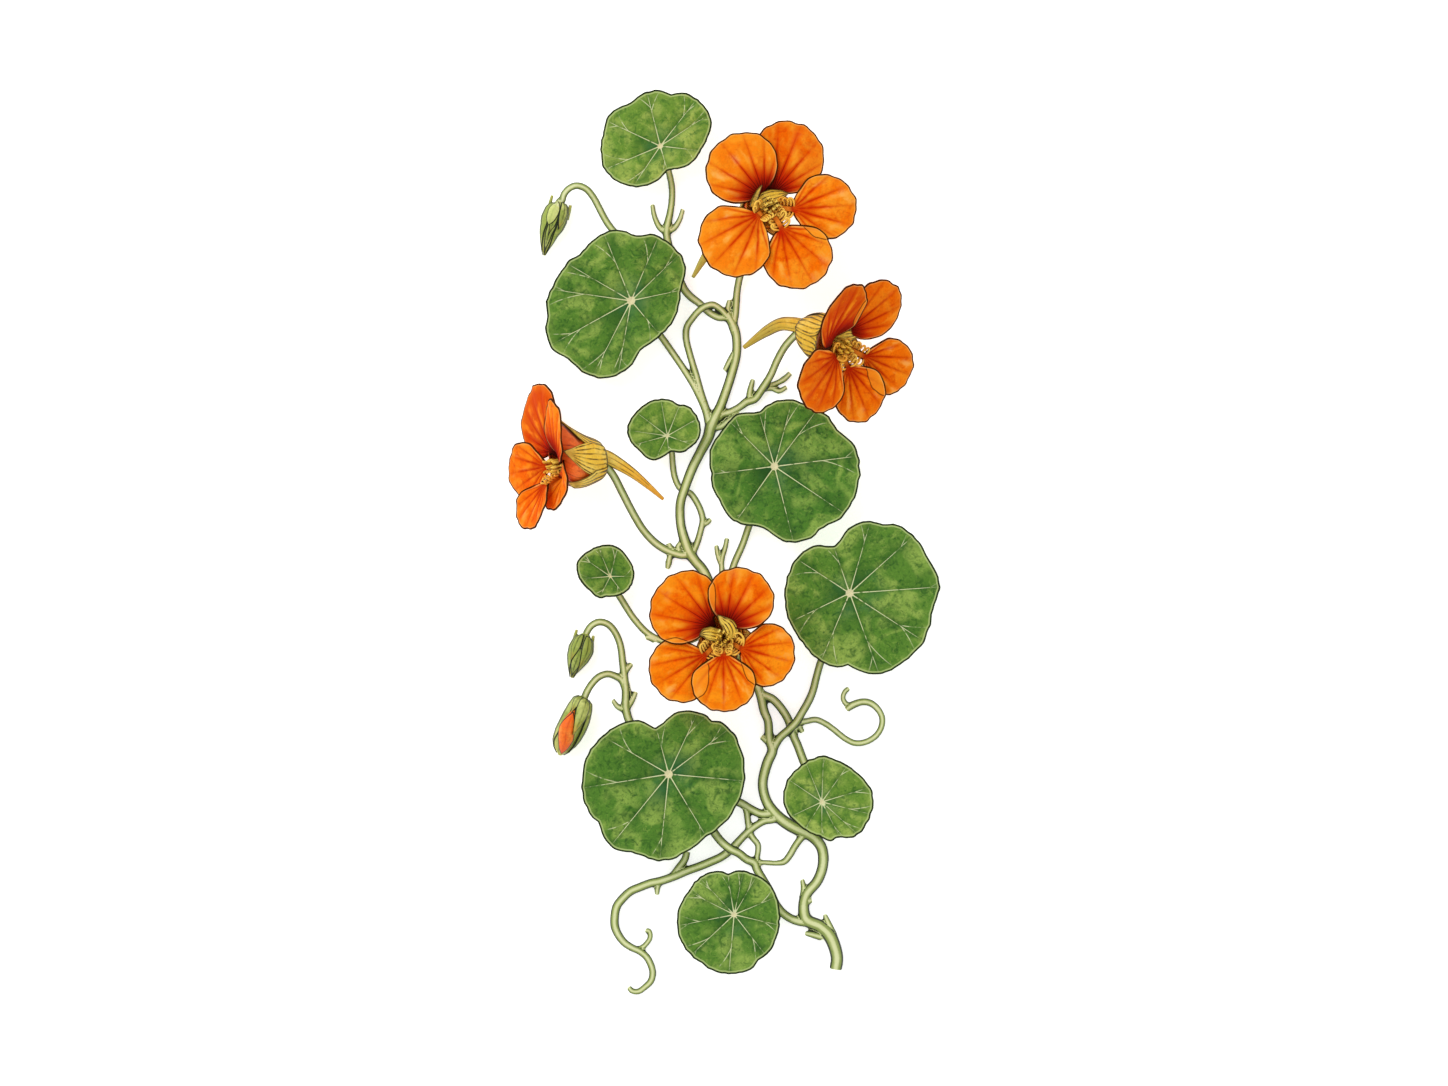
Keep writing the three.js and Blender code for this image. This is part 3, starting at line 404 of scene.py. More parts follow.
def joined(pieces, name):
    """Several objects as one mesh."""
    with bpy.context.temp_override(active_object=pieces[0], object=pieces[0],
                                   selected_editable_objects=pieces, selected_objects=pieces):
        bpy.ops.object.join()
    pieces[0].name = name
    pieces[0].data.name = name
    return pieces[0]


def stands_for(piece, node):
    """The piece rides on the body and replaces its solid, and its mesh takes the piece's name."""
    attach(piece, BODY)
    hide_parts(node)
    piece.data.name = piece.name
    return piece


def triangles(piece):
    piece.data.calc_loop_triangles()
    return len(piece.data.loop_triangles)


# %% [markdown]
# ## Leaves
#
# A nasturtium leaf is a shield: the stalk meets it near its middle, and the main veins run out
# from there like spokes. Each vein is a shallow groove, the blade swells a little between two veins
# and forks of the veins reach for the margin, which is gently lobed.
#
# A disc with a bumpy finish would be quicker, but its rim would stay round and its veins would
# blur. So the grid of each leaf is wrapped around its centre, with its columns gathered near the
# veins, and real grooves are pressed into it.

# %% Sizes of the leaves
LEAF_THICKNESS = 0.6
LEAF_DISH = 2.4
LEAF_PUFF = 0.55
LEAF_WAVE = 0.5
VEIN_GROOVE = 0.22
VEIN_COLUMNS = 18
LEAF_ROWS = 34
LEAF_CRINKLE = 0.16
STAR_SHARE = 0.04

# centre of the blade, slopes, angle of each main vein, and the edge as (angle, distance)
LEAVES = {
    "leaf_1": {
        "centre": (4, -133.5, 8.6), "slope": (0.03, -0.02), "tone": 0.35,
        "veins": [23, 60, 78, 99, 133, 153, 191, 223, 265, 308, 347],
        "edge": [(10, 16.5), (40, 17), (63, 16.5), (87, 16), (98, 15), (107, 16.5), (126, 18),
                 (162, 19), (171, 20), (195, 21), (216, 21.5), (239, 21), (246, 21.5), (264, 21.5),
                 (291, 20), (298, 18.5), (313, 18.5), (340, 17)]},
    "leaf_2": {
        "centre": (-19.5, -83, 10), "slope": (-0.02, 0.03), "tone": 0.2,
        "veins": [37, 65, 105, 150, 189, 231, 264, 301, 355],
        "edge": [(1, 27.5), (20, 27.5), (35, 27.5), (46, 26.5), (51, 25), (63, 25), (80, 23),
                 (105, 17.5), (118, 22), (130, 24.5), (150, 27.5), (170, 30.5), (191, 31.5), (207, 32),
                 (215, 31), (227, 33), (236, 33), (247, 31), (261, 31.5), (275, 30.5), (280, 29),
                 (301, 26.5), (330, 27)]},
    "leaf_3": {
        "centre": (35.5, -93, 9), "slope": (0.05, 0.02), "tone": 0.8,
        "veins": [17, 55, 88, 112, 146, 205, 238, 270, 297, 318, 346],
        "edge": [(9, 18.5), (34, 17), (59, 16), (91, 16.5), (125, 15), (157, 14.5), (190, 13.5),
                 (218, 12), (254, 12), (272, 13), (283, 14.5), (294, 14), (312, 17), (340, 18.2)]},
    "leaf_4": {
        "centre": (45.5, -18, 9.6), "slope": (0.02, 0.04), "tone": 0.3,
        "veins": [4, 42, 74, 109, 147, 206, 247, 290, 327],
        "edge": [(7, 32.5), (23, 31), (36, 31), (50, 30.5), (58, 29.5), (64, 27.5), (74, 27), (89, 24),
                 (107, 18), (128, 21.5), (150, 23), (180, 23.5), (205, 24), (224, 24.5), (245, 26.5),
                 (262, 27), (269, 26), (281, 29.5), (297, 31.5), (312, 31.5), (326, 32), (347, 30.5)]},
    "leaf_5": {
        "centre": (-40.5, -12, 8), "slope": (-0.06, 0.02), "tone": 0.6,
        "veins": [0, 76, 112, 145, 185, 243, 307],
        "edge": [(25, 9), (52, 9.5), (76, 11), (99, 11.5), (127, 12), (138, 12.5), (156, 13),
                 (168, 12.5), (193, 10.5), (216, 9), (232, 9), (248, 8.5), (259, 7.5), (290, 7.5),
                 (325, 8.2), (351, 8.5)]},
    "leaf_6": {
        "centre": (18.5, 27.5, 9), "slope": (0.03, -0.03), "tone": 0.0,
        "veins": [7, 53, 75, 106, 135, 187, 235, 284, 326],
        "edge": [(8, 30.5), (16, 29.5), (29, 26.5), (46, 26.5), (54, 25), (67, 25), (81, 24.5),
                 (95, 22.5), (107, 20.5), (125, 23), (146, 23), (167, 24), (186, 23), (192, 23.5),
                 (212, 23.5), (231, 24.5), (246, 23.5), (261, 22.5), (274, 26.5), (282, 28), (296, 29),
                 (308, 28), (324, 30.5), (345, 31)]},
    "leaf_7": {
        "centre": (-20, 38.5, 8.2), "slope": (-0.04, 0.04), "tone": 0.8,
        "veins": [30, 68, 100, 143, 172, 195, 243, 275, 340],
        "edge": [(18, 12.5), (40, 13), (60, 13), (68, 12), (86, 13), (117, 14), (136, 14), (156, 14.5),
                 (176, 14.5), (209, 11.5), (224, 11), (242, 10), (262, 7.5), (285, 6), (310, 8),
                 (334, 9.5), (356, 11.5)]},
    "leaf_8": {
        "centre": (-33, 87, 9.6), "slope": (-0.03, -0.02), "tone": 0.3,
        "veins": [12, 44, 67, 112, 150, 172, 209, 243, 260, 310],
        "edge": [(8, 18), (18, 19.5), (31, 23), (54, 25), (73, 25), (86, 23.5), (100, 26), (119, 26),
                 (139, 25), (146, 26.5), (165, 28), (180, 30.5), (191, 30.5), (199, 32.5), (212, 33.2),
                 (224, 31), (242, 31), (257, 28), (270, 23.5), (280, 18.5), (295, 17), (311, 16.5),
                 (340, 17)]},
    "leaf_9": {
        "centre": (-22.5, 142.5, 12), "slope": (0.03, 0.06), "tone": 0.9,
        "veins": [33, 52, 104, 155, 203, 236, 286, 353],
        "edge": [(5, 16.5), (26, 20.5), (50, 21.5), (70, 20.5), (77, 19), (91, 20), (108, 19.8),
                 (126, 19), (147, 21.5), (165, 21), (184, 21.5), (202, 22), (213, 21), (241, 17),
                 (268, 12), (285, 9.5), (303, 10), (326, 12.5), (350, 14.5)]},
}

# %% The leaf's surface


def edge_at(edge, degrees):
    """The edge's distance at an angle, as a smooth curve through the listed points."""
    turn = degrees % 360
    after = next((i for i, (angle, _) in enumerate(edge) if angle > turn), len(edge))

    def at(step):
        lap, index = divmod(after + step, len(edge))
        return edge[index][0] + 360 * lap, edge[index][1]

    (a0, r0), (a1, r1), (a2, r2), (a3, r3) = (at(step) for step in (-2, -1, 0, 1))
    f = (turn - a1) / (a2 - a1)
    start = (r2 - r0) / (a2 - a0) * (a2 - a1)
    end = (r3 - r1) / (a3 - a1) * (a2 - a1)
    return r1 + f * (start + f * (3 * (r2 - r1) - 2 * start - end + f * (2 * (r1 - r2) + start + end)))


def ridge(value, width):
    """A smooth bump of height 1 and about that half width."""
    return math.exp(-(value / width) ** 2)


def wobble(*place):
    """Smooth noise from -1 to 1, the same on every run."""
    return noise.noise(Vector(place))


def leaf_surface(leaf, seed):
    """surface(u, v) of one leaf: u goes round, v from the centre out."""
    veins = leaf["veins"]
    count = len(veins)

    def surface(u, v):
        phase = round(count * u, 5) % count
        sector = int(phase)
        t = phase - sector
        part = t - 0.75 * math.sin(2 * math.pi * t) / (2 * math.pi)
        first = veins[sector % count]
        after = veins[sector + 1] if sector + 1 < count else veins[0] + 360
        degrees = first + (after - first) * part
        turn = math.radians(degrees)
        reach = v ** 0.9
        notches = 0.02 * wobble(10 * math.cos(turn), 10 * math.sin(turn), seed)
        radius = edge_at(leaf["edge"], degrees) * reach * (1 + notches * reach ** 8)
        off_vein = min(part, 1 - part)
        span = math.radians(after - first) * radius
        nearest = sector if part < 0.5 else sector + 1
        side = 1 if part < 0.5 else -1
        fork = 0.82 + 0.28 * math.sin(12.9 * (nearest % count) + 4.1 * side + seed)
        branch = abs(off_vein - 0.75 * max(0.0, reach - fork)) * span
        fade = (1 - reach) ** 0.5
        groove = ridge(off_vein * span, 0.5) * (0.35 + 0.65 * fade)
        groove += 0.5 * ridge(branch, 0.4) * (reach > fork)
        x, y = radius * math.cos(turn), radius * math.sin(turn)
        dish = LEAF_DISH * (1 - (1 - reach) ** 2)
        puff = LEAF_PUFF * math.sin(math.pi * part) * reach * (1.6 - reach)
        wave = LEAF_WAVE * math.sin(3 * turn + leaf["centre"][0]) * reach ** 2
        uneven = wobble(0.3 * x, 0.3 * y, seed) + 0.5 * wobble(0.8 * x, 0.8 * y, seed)
        crinkle = LEAF_CRINKLE * uneven * reach
        rise_x, rise_y = leaf["slope"]
        z = dish + puff + wave + crinkle - VEIN_GROOVE * groove + rise_x * x + rise_y * y
        centre = leaf["centre"]
        gloom = (0.5 + 0.5 * math.sin(2.4 * sector + seed)) ** 2
        return (centre[0] + x, centre[1] + y, centre[2] + z), (off_vein, span, reach, fork, gloom)

    return surface


# %% [markdown]
# ### The finish of a leaf
#
# From the outside in: a thin dark line at the very margin, a pale rim next to it that is a painted
# highlight along the raised margin, a wash of greens with painted shade round the dished centre and
# along the vein grooves, pale spokes with their forks, and a cream star where the stalk is fixed. The
# underside is the same leaf seen through a pale bloom. Every stroke follows a measure of the mesh, so
# that the pale veins lie in the grooves of the blade.

# %% Material of the leaves


def leaf_finish(name, light, middle, deep, vein, dark_line, star_size, veiled):
    """Finish of a leaf's face, or of its paler back if veiled is above 0."""
    material, tree = new_finish(name)
    off_vein = measure(tree, "off_vein")
    span = measure(tree, "span")
    reach = measure(tree, "reach")
    fork = measure(tree, "fork")
    rim = measure(tree, "rim")
    pigment = use(tree, wash, Light=colour(light), Middle=colour(middle), Deep=colour(deep), Contrast=1.0)
    base = pigment["Color"]

    patchy = between(tree, speckle(tree, 7, 3, 0.5), 0.3, 0.7)
    base = over(tree, between(tree, speckle(tree, 1.6, 4, 1.5), 0.5, 0.7, 0.0, 0.55), base, colour(deep))
    base = over(tree, between(tree, speckle(tree, 2.2, 4, 2.0), 0.56, 0.72, 0.0, 0.5), base, colour(light))
    # painted shade: darker along the vein grooves, and round the dished centre by a share of its own in each
    # sector
    vein_groove_shade = between(tree, off_vein, 0.02, 0.42, 1.0, 0.0)
    vein_groove_shade = times(tree, vein_groove_shade, times(tree, patchy, 0.5))
    gloomy = calc(tree, "MULTIPLY_ADD", measure(tree, "gloom"), 0.85, 0.12)
    centre_shade = times(tree, between(tree, reach, 0.08, 0.62, 1.0, 0.0), gloomy)
    dark = calc(tree, "MAXIMUM", vein_groove_shade, centre_shade, clamp=True)
    base = over(tree, dark, base, colour(deep))
    cool = between(tree, speckle(tree, 9, 2), 0.4, 0.65)
    cool = times(tree, between(tree, reach, 0.1, 0.5, 1.0, 0.0), cool)
    base = over(tree, times(tree, cool, 0.45), base, colour("3f7a4c"))
    contour = apart(tree, speckle(tree, 6, 3, 1.5), 0.5)
    strokes = times(tree, between(tree, contour, 0.002, 0.012, 0.6, 0.0), patchy)
    base = over(tree, strokes, base, colour(dark_line))
    # painted highlight: paler towards the raised margin
    margin_highlight = times(tree, between(tree, rim, 0.0, 4.5, 0.45, 0.0), patchy)
    base = over(tree, margin_highlight, base, colour(light))

    from_vein = times(tree, off_vein, span)
    beyond = calc(tree, "MAXIMUM", calc(tree, "SUBTRACT", reach, fork), 0.0)
    aside = times(tree, beyond, 0.75)
    from_branch = times(tree, apart(tree, off_vein, aside), span)
    inward = calc(tree, "POWER", calc(tree, "SUBTRACT", 1.0, reach, clamp=True), 1.5)
    half = calc(tree, "MULTIPLY_ADD", inward, 0.24, 0.04)
    worn = calc(tree, "MULTIPLY_ADD", reach, 0.16, 0.28)
    broken = between(tree, speckle(tree, 2.4, 2), worn, calc(tree, "ADD", worn, 0.1), 0.15, 1.0)
    spoke = line_at(tree, from_vein, half, 0.14)
    shorter = between(tree, reach, 0.8, 0.97, 1.0, 0.25)
    spoke = times(tree, spoke, times(tree, shorter, broken))
    branch = line_at(tree, from_branch, 0.07, 0.16)
    branch = times(tree, branch, between(tree, beyond, 0.0, 0.04, 0.0, 0.8))
    branch = times(tree, branch, times(tree, broken, shorter))
    shadow = line_at(tree, from_vein, 0.4, 0.9)
    base = over(tree, times(tree, shadow, 0.3), base, colour(deep))
    veins = calc(tree, "MAXIMUM", spoke, branch)
    base = over(tree, veins, base, colour(vein))

    star = line_at(tree, measure(tree, "span_out"), star_size, 0.4)
    base = over(tree, star, base, colour("e2dcae"))

    margin = line_at(tree, rim, 0.52, 0.12)
    # painted highlight: a pale line just inside the margin
    rim_highlight = line_at(tree, apart(tree, rim, 0.88), 0.16, 0.15)
    base = over(tree, times(tree, rim_highlight, 0.7), base, colour("bccd86"))
    base = over(tree, times(tree, margin, 0.97), base, colour("161f0a"))
    base = over(tree, veiled, base, colour("a9bd8b"))
    end_finish(tree, base, pigment["Grain"], veins, rough=(0.5, 0.68),
               strength=0.35, depth=0.12, gloss=0.12)
    return material


def mixed(first, second, share):
    """A paint-chart colour between two others."""
    pairs = zip(bytes.fromhex(first), bytes.fromhex(second))
    return bytes(round(a + (b - a) * share) for a, b in pairs).hex()


# %% [markdown]
# Nine leaves differ in size, outline and tone, and young ones are lighter. Each could be drawn by
# hand. One formula with a table of numbers is less work, and keeps them of one kind.

# %% Grow the leaves
for index, (name, leaf) in enumerate(LEAVES.items()):
    tone = leaf["tone"]
    light = mixed("86a848", "a6bc58", tone)
    middle = mixed("4e7f28", "739836", tone)
    deep = mixed("1c4a16", "376a22", tone)
    star_size = STAR_SHARE * max(distance for _, distance in leaf["edge"])
    dark_line = mixed("1d4a14", "346a20", tone)
    face = leaf_finish(name + "_face", light, middle, deep, "dde3b0", dark_line, star_size, 0.0)
    back = leaf_finish(name + "_back", light, middle, deep, "dfe5bd", deep, star_size, 0.45)
    columns = VEIN_COLUMNS * len(leaf["veins"])
    names = ["off_vein", "span", "reach", "fork", "gloom"]
    bm = blade_grid(columns, LEAF_ROWS, leaf_surface(leaf, 1.7 * index), names)
    bmesh.ops.reverse_faces(bm, faces=bm.faces)
    rim_distance(bm)
    out = bm.verts.layers.float.new("span_out")
    centre = Vector(leaf["centre"]) * MM
    for vert in bm.verts:
        vert[out] = (vert.co - centre).to_2d().length / MM
    piece = thickened(to_object(bm, name + "_blade", [face, back]), LEAF_THICKNESS)
    stands_for(piece, name)
    print(piece.name, triangles(piece), "triangles")

# %% [markdown]
# ## Smooth routes and tubes
#
# Stems, spurs, buds and stamens are all tubes of changing thickness along a smooth curve. A route
# is a short list of given points, each with its thickness, and a curve is drawn through them. The
# tube is again a grid from the operator, rolled up around that curve and closed. A curve object with
# a bevel would be round at once, but couldn't carry ribs and their measures.

# %% Helpers for routes and tubes
UP = Vector((0, 0, 1))
STEM_SIDES = 6
LYING_CLEAR = 0.05
RIB_MEASURES = ["streak", "spacing", "along"]


def through(points, t):
    """The place at t, from 0 to 1, on a smooth curve through the points."""
    last = len(points) - 1
    step = min(int(t * last), last - 1)
    f = t * last - step
    p1, p2 = points[step], points[step + 1]
    p0 = points[step - 1] if step else 2 * p1 - p2
    p3 = points[step + 2] if step + 2 <= last else 2 * p2 - p1
    g0, g1, g2 = (max(1e-3, (b - a).length ** 0.5) for a, b in ((p0, p1), (p1, p2), (p2, p3)))
    start = ((p1 - p0) / g0 - (p2 - p0) / (g0 + g1) + (p2 - p1) / g1) * g1
    end = ((p2 - p1) / g1 - (p3 - p1) / (g1 + g2) + (p3 - p2) / g2) * g1
    return p1 + f * (start + f * (3 * (p2 - p1) - 2 * start - end + f * (2 * (p1 - p2) + start + end)))


def stations(route, per_stretch, clear=LYING_CLEAR):
    """(place, thickness, direction) at even steps. A point with no height lies on the table."""
    lying = math.cos(math.pi / STEM_SIDES) / 2
    heights = [rest[1] if len(rest) > 1 else rest[0] * lying + clear for _, _, *rest in route]
    centres = [Vector((point[0], point[1], height)) for point, height in zip(route, heights)]
    across = [point[2] for point in route]
    count = per_stretch * (len(route) - 1)
    found = []
    for i in range(count + 1):
        t = i / count
        step = min(int(t * (len(route) - 1)), len(route) - 2)
        f = t * (len(route) - 1) - step
        ahead = through(centres, min(1, t + 1e-3)) - through(centres, max(0, t - 1e-3))
        thick = across[step] + (across[step + 1] - across[step]) * f
        found.append((through(centres, t), thick, ahead.normalized()))
    return found


def rings(route, per_stretch, up=UP):
    """(place, thickness, two directions across, the flank's direction) at even steps of a route."""
    found = stations(route, per_stretch)
    across = found[0][2].cross(up)
    if across.length < 0.05:
        across = Vector((1, 0, 0))
    steps = []
    for centre, thick, ahead in found:
        across = (across - ahead * across.dot(ahead)).normalized()
        steps.append((centre, thick, across.copy(), across.cross(ahead), ahead.cross(up).normalized()))
    return steps


def tube(route, sides, per_stretch, ribs=5, ridge=0.0, up=UP):
    """A closed bmesh tube, with the measures of its ribs and of how far a point is to its side."""
    steps = rings(route, per_stretch, up)

    def surface(u, v):
        centre, thick, across, lifted, flank = steps[round(v * (len(steps) - 1))]
        turn = 2 * math.pi * u
        radius = thick / 2 * (1 - ridge * (1 - abs(math.sin(0.5 * ribs * turn))))
        away = math.cos(turn) * across + math.sin(turn) * lifted
        tent = abs((ribs * u) % 1 - 0.5)
        return centre + radius * away, (0.5 - tent, math.pi * thick / ribs, v, abs(away.dot(flank)))

    bm = blade_grid(sides, len(steps) - 1, surface, RIB_MEASURES + ["edge"])
    bmesh.ops.holes_fill(bm, edges=[e for e in bm.edges if e.is_boundary], sides=0)
    bmesh.ops.recalc_face_normals(bm, faces=bm.faces)
    return bm


def ribbon(route, columns, per_stretch, streaks, hollow, up=UP):
    """A bmesh blade along a route whose third number is its width; hollow bends it into a trough."""
    steps = rings(route, per_stretch, up)

    def surface(u, v):
        centre, wide, across, lifted, _ = steps[round(v * (len(steps) - 1))]
        side = 2 * u - 1
        place = centre + across * side * wide / 2 - lifted * hollow * wide * (1 - side ** 2)
        return place, (abs((streaks * u) % 1 - 0.5), wide / streaks, v)

    bm = blade_grid(columns, len(steps) - 1, surface, RIB_MEASURES)
    rim_distance(bm)
    return bm


# %% [markdown]
# ## Flowers
#
# Each flower faces its own way, so it is built upright in a frame of its own and then turned. The
# five petals share one trumpet that dives into the throat. The upper two are broad right down to
# the throat and carry dark guide lines. The lower three stand on narrow claws with a yellow fringe.

# %% Sizes of the flowers
CUP_DEPTH = 15.5
THROAT_DEPTH = 7.0
THROAT_RADIUS = 10.0
PETAL_ROOT = 3.8
ROOT_WIDTH = 2.5
LIFT = 1.8
PETAL_CURL = 1.6
PETAL_THICKNESS = 0.5
PETAL_STREAKS = 9
PETAL_COLUMNS = 72
PETAL_ROWS = 40
CLAW_SHARE = 0.2
BASE_SLIMMING = 0.45
SLIM_SHARE = 0.3
PLEAT = 0.2
FAN = math.radians(84)

# turn of the root and aim of the blade in degrees, 0 to the flower's right and 90 to its top; reach of
# the claw, width of the neck, length and width in millimetres; spread away from the axis in degrees;
# layer, of which a higher one lies over a lower; tone, which is deeper below 0; and twist
PETAL_SIZES = ("turn", "aim", "claw", "neck", "length", "width", "spread", "layer", "tone", "twist")
# a spur is a route in the flower's own frame: x, y, thickness and height
FLOWERS = {
    "flower_1": {
        "throat": (16, 120.5, 31), "faces": (0.2, 0.12, 0.97), "top": (0.05, 1, 0),
        "lean": (0, 0), "flare": (0, 0),
        "spur": [(-1, 1, 5.8, -13.4), (-1.2, 0.8, 5.8, -15.6), (-5, -3, 4.8, -18.6),
            (-11.5, -9, 3.6, -20.5), (-17.4, -15.2, 3.6, -20), (-22.9, -24.3, 1.3, -18.6)],
        "petals": {
            "upper_left": (124, 132, 4.8, 5, 24, 27.2, 84, 1, 0.35, 0),
            "upper_right": (70, 69, 6.4, 5, 26, 25.6, 84, 0, -0.55, 0),
            "side_right": (-8, 7, 8.6, 2.8, 23.6, 23.4, 84, 1, 0.05, 0),
            "lowest": (-64, -58, 9.4, 2.8, 23.4, 25.6, 84, 2, -0.05, 0),
            "side_left": (-135, -131, 6.4, 3.4, 26, 26.6, 84, 3, 0.4, 0)}},
    "flower_2": {
        "throat": (41, 71.5, 25), "faces": (0.573, -0.228, 0.788), "top": (0.37, 0.93, 0),
        "lean": (-5.5, 0.5), "flare": (0, 0),
        "spur": [(-4.5, 0.8, 6, -13.4), (-5.6, 1, 5.8, -15.8), (-7, 0.6, 5.4, -19),
            (-8.7, -0.9, 4.8, -23.5), (-10.4, -5, 4, -27.5), (-13.4, -13.6, 1.5, -32.7)],
        "petals": {
            "upper_left": (203, 97.5, 10.8, 3, 29.8, 21.8, 60, 0.8, -1.1, 0),
            "upper_right": (82, 62, 6, 4.4, 24.3, 21, 75, 0, -0.4, 0),
            "side_right": (-4, 0, 11.5, 2.8, 21.5, 20.8, 75, 0, 0.1, 0),
            "lowest": (-52, -44, 8.5, 2.8, 21.8, 22, 75, 1, -0.2, 0),
            "side_left": (-118, -119, 5.2, 3, 25, 24.2, 70, 2, -0.6, 0)}},
    "flower_3": {
        "throat": (-58.5, 28, 23.8), "faces": (-0.93, -0.12, 0.35), "top": (-0.1, 1, 0),
        "lean": (0, 0), "flare": (0, 3.2), "brush": 0.55,
        "cup": [(0.4, -17.3), (5.8, -15.9), (8.6, -10.6), (10.8, -4.4), (11.4, -0.3)],
        "spur": [(0, 1.5, 6, -13.4), (0, 1.3, 5.8, -15.6), (-0.4, 0.3, 5.4, -18.5),
            (-0.8, -3, 4.4, -23.5), (-1, -6.7, 3.4, -28.1), (-1.3, -12, 2.2, -33.5),
            (-1.4, -16.9, 1.2, -38.1)],
        "petals": {
            "upper_left": (128, 118, 6.6, 4, 26.1, 29, 83, 0, -1.2, -0.12),
            "upper_right": (10, 74, 5.2, 3.4, 23.5, 17, 84, 1.2, 0.1, 0),
            "side_right": (16, -95, 7, 2.8, 21, 21.5, 57, -1.9, 0.1, 0.3),
            "lowest": (-100, -104, 7, 2.8, 18.7, 25, 58, 1, -0.08, 0.08),
            "side_left": (182, 182, 7, 2.8, 22.4, 22, 67, 0, 0.04, 0)}},
    "flower_4": {
        "throat": (-0.5, -33.5, 31), "faces": (0.02, 0.03, 1), "top": (0.03, 1, 0),
        "lean": (0, 0), "flare": (0, 0),
        "spur": [(-0.5, 1, 5.8, -13.4), (-1.2, 1.8, 5.6, -15.6), (-4.5, 3.5, 4.6, -19.5),
            (-10, 3, 3.4, -22.5), (-16, -2, 2.4, -24), (-19.5, -6.5, 1.5, -23.5)],
        "petals": {
            "upper_left": (133, 150, 6, 4.6, 23.2, 27, 84, 1, -0.3, 0),
            "upper_right": (65, 65, 4.8, 5, 21.5, 23.5, 84, 2, -0.35, 0),
            "side_right": (-30, -13, 7.9, 2.8, 20, 22.6, 84, 0, -0.06, 0),
            "lowest": (-83, -88, 6.4, 2.8, 20.8, 22.8, 84, 1, 0.25, 0),
            "side_left": (-130, -147, 8.7, 2.8, 21.8, 23.4, 84, 0, 0.1, 0)}},
}
HOODS = {  # yellow bases of the upper petals, which roof the throat: x, y, width, height
    "flower_1": {
        "upper_left": [(-3, 6.8, 0.3, 3.4), (-4.4, 4.2, 1.5, 3.2), (-5.4, 1.4, 2.2, 2.8),
            (-6, -1.2, 1.8, 2)],
        "upper_right": [(7.2, 4.8, 0.3, 1.2), (4.8, 4.1, 3.4, 1.3), (1.6, 3.1, 5.6, 1.2),
            (-1.4, 1.9, 5.8, 0.8), (-3.6, 0, 4.4, -0.4)]},
    "flower_2": {
        "upper_left": [(-6.5, 5.2, 0.3, 2.2), (-5, 3.8, 2.2, 1.8), (-3.4, 1.6, 3, 0.8),
            (-2.6, -0.8, 2.4, -0.6)],
        "upper_right": [(8.4, 7.4, 0.3, 2), (5.8, 5.8, 2.8, 1.7), (2.8, 4.2, 4.8, 1.2),
            (-0.2, 2.6, 4.8, 0.4), (-2.2, 0.8, 3.4, -0.8)]},
    "flower_4": {
        "upper_left": [(-8.1, 0.2, 0.3, 2.8), (-6.2, 0.9, 3.6, 2.8), (-4.1, 0.9, 5, 2.4),
            (-1.8, 0.5, 4.6, 1.2), (0.4, 0, 3, -0.8)],
        "upper_right": [(-1.7, 7.6, 0.3, 4.9), (0, 5.9, 2.8, 4.9), (2.2, 4, 5, 4.5),
            (3.4, 1.8, 5.2, 3.4), (3.4, -0.8, 3.8, 1.2)]},
}
# the margins that show through a petal are painted in its finish, as painted translucency
LAPS = {  # a petal that lies over others, and the ones whose margins shine through it
    "flower_1": {"lowest": ["side_right"]},
    "flower_2": {"upper_left": ["upper_right"], "lowest": ["side_right"]},
    "flower_3": {},
    "flower_4": {"upper_right": ["upper_left"], "upper_left": ["side_left"],
                 "lowest": ["side_left", "side_right"]},
}
PETAL_TONES = {  # light, middle, deep and glow at the base
    "flower_1": ("ffa224", "f87404", "d83800", "c41c00"),
    "flower_2": ("ff9418", "f46c02", "c83000", "b01a00"),
    "flower_3": ("fd8e18", "f06404", "cc3a00", "b82400"),
    "flower_4": ("ff9c18", "f87404", "da3a00", "c01e00"),
}

# %% The petal's surface


def flower_frame(flower):
    """Turns and places a flower: z faces out of it and y points to its top."""
    z = Vector(flower["faces"]).normalized()
    y = Vector(flower["top"])
    y = (y - z * y.dot(z)).normalized()
    turned = Matrix((y.cross(z), y, z)).transposed()
    return Matrix.Translation(Vector(flower["throat"])) @ turned.to_4x4()


def trumpet(radius, spread):
    """Height of the petals' common trumpet at a distance from the flower's axis."""
    return radius * math.cos(spread) - THROAT_DEPTH * max(0, 1 - radius / THROAT_RADIUS) ** 2


def petal_outline(size, points=80):
    """The margin of a petal as a loop of flat points, seen along the flower's axis."""
    surface = petal_surface(size, 0, 0, [])
    return [Vector(surface(0.04 + 0.92 * i / (points - 1), 1)[0]).to_2d() for i in range(points)]


def inside_by(spot, loop, tree):
    """How far a flat point is inside a loop, in millimetres; below 0 outside it."""
    crossings = 0
    for a, b in zip(loop, loop[1:] + loop[:1]):
        if (a.y > spot.y) != (b.y > spot.y) and spot.x < a.x + (spot.y - a.y) / (b.y - a.y) * (b.x - a.x):
            crossings += 1
    away = tree.find(spot.to_3d())[2]
    return away if crossings % 2 else -away


def lap_tree(loop):
    """Search tree of a loop, with points in between for an even distance."""
    dense = [a.lerp(b, f / 4) for a, b in zip(loop, loop[1:] + loop[:1]) for f in range(4)]
    tree = KDTree(len(dense))
    for index, spot in enumerate(dense):
        tree.insert(spot.to_3d(), index)
    tree.balance()
    return tree


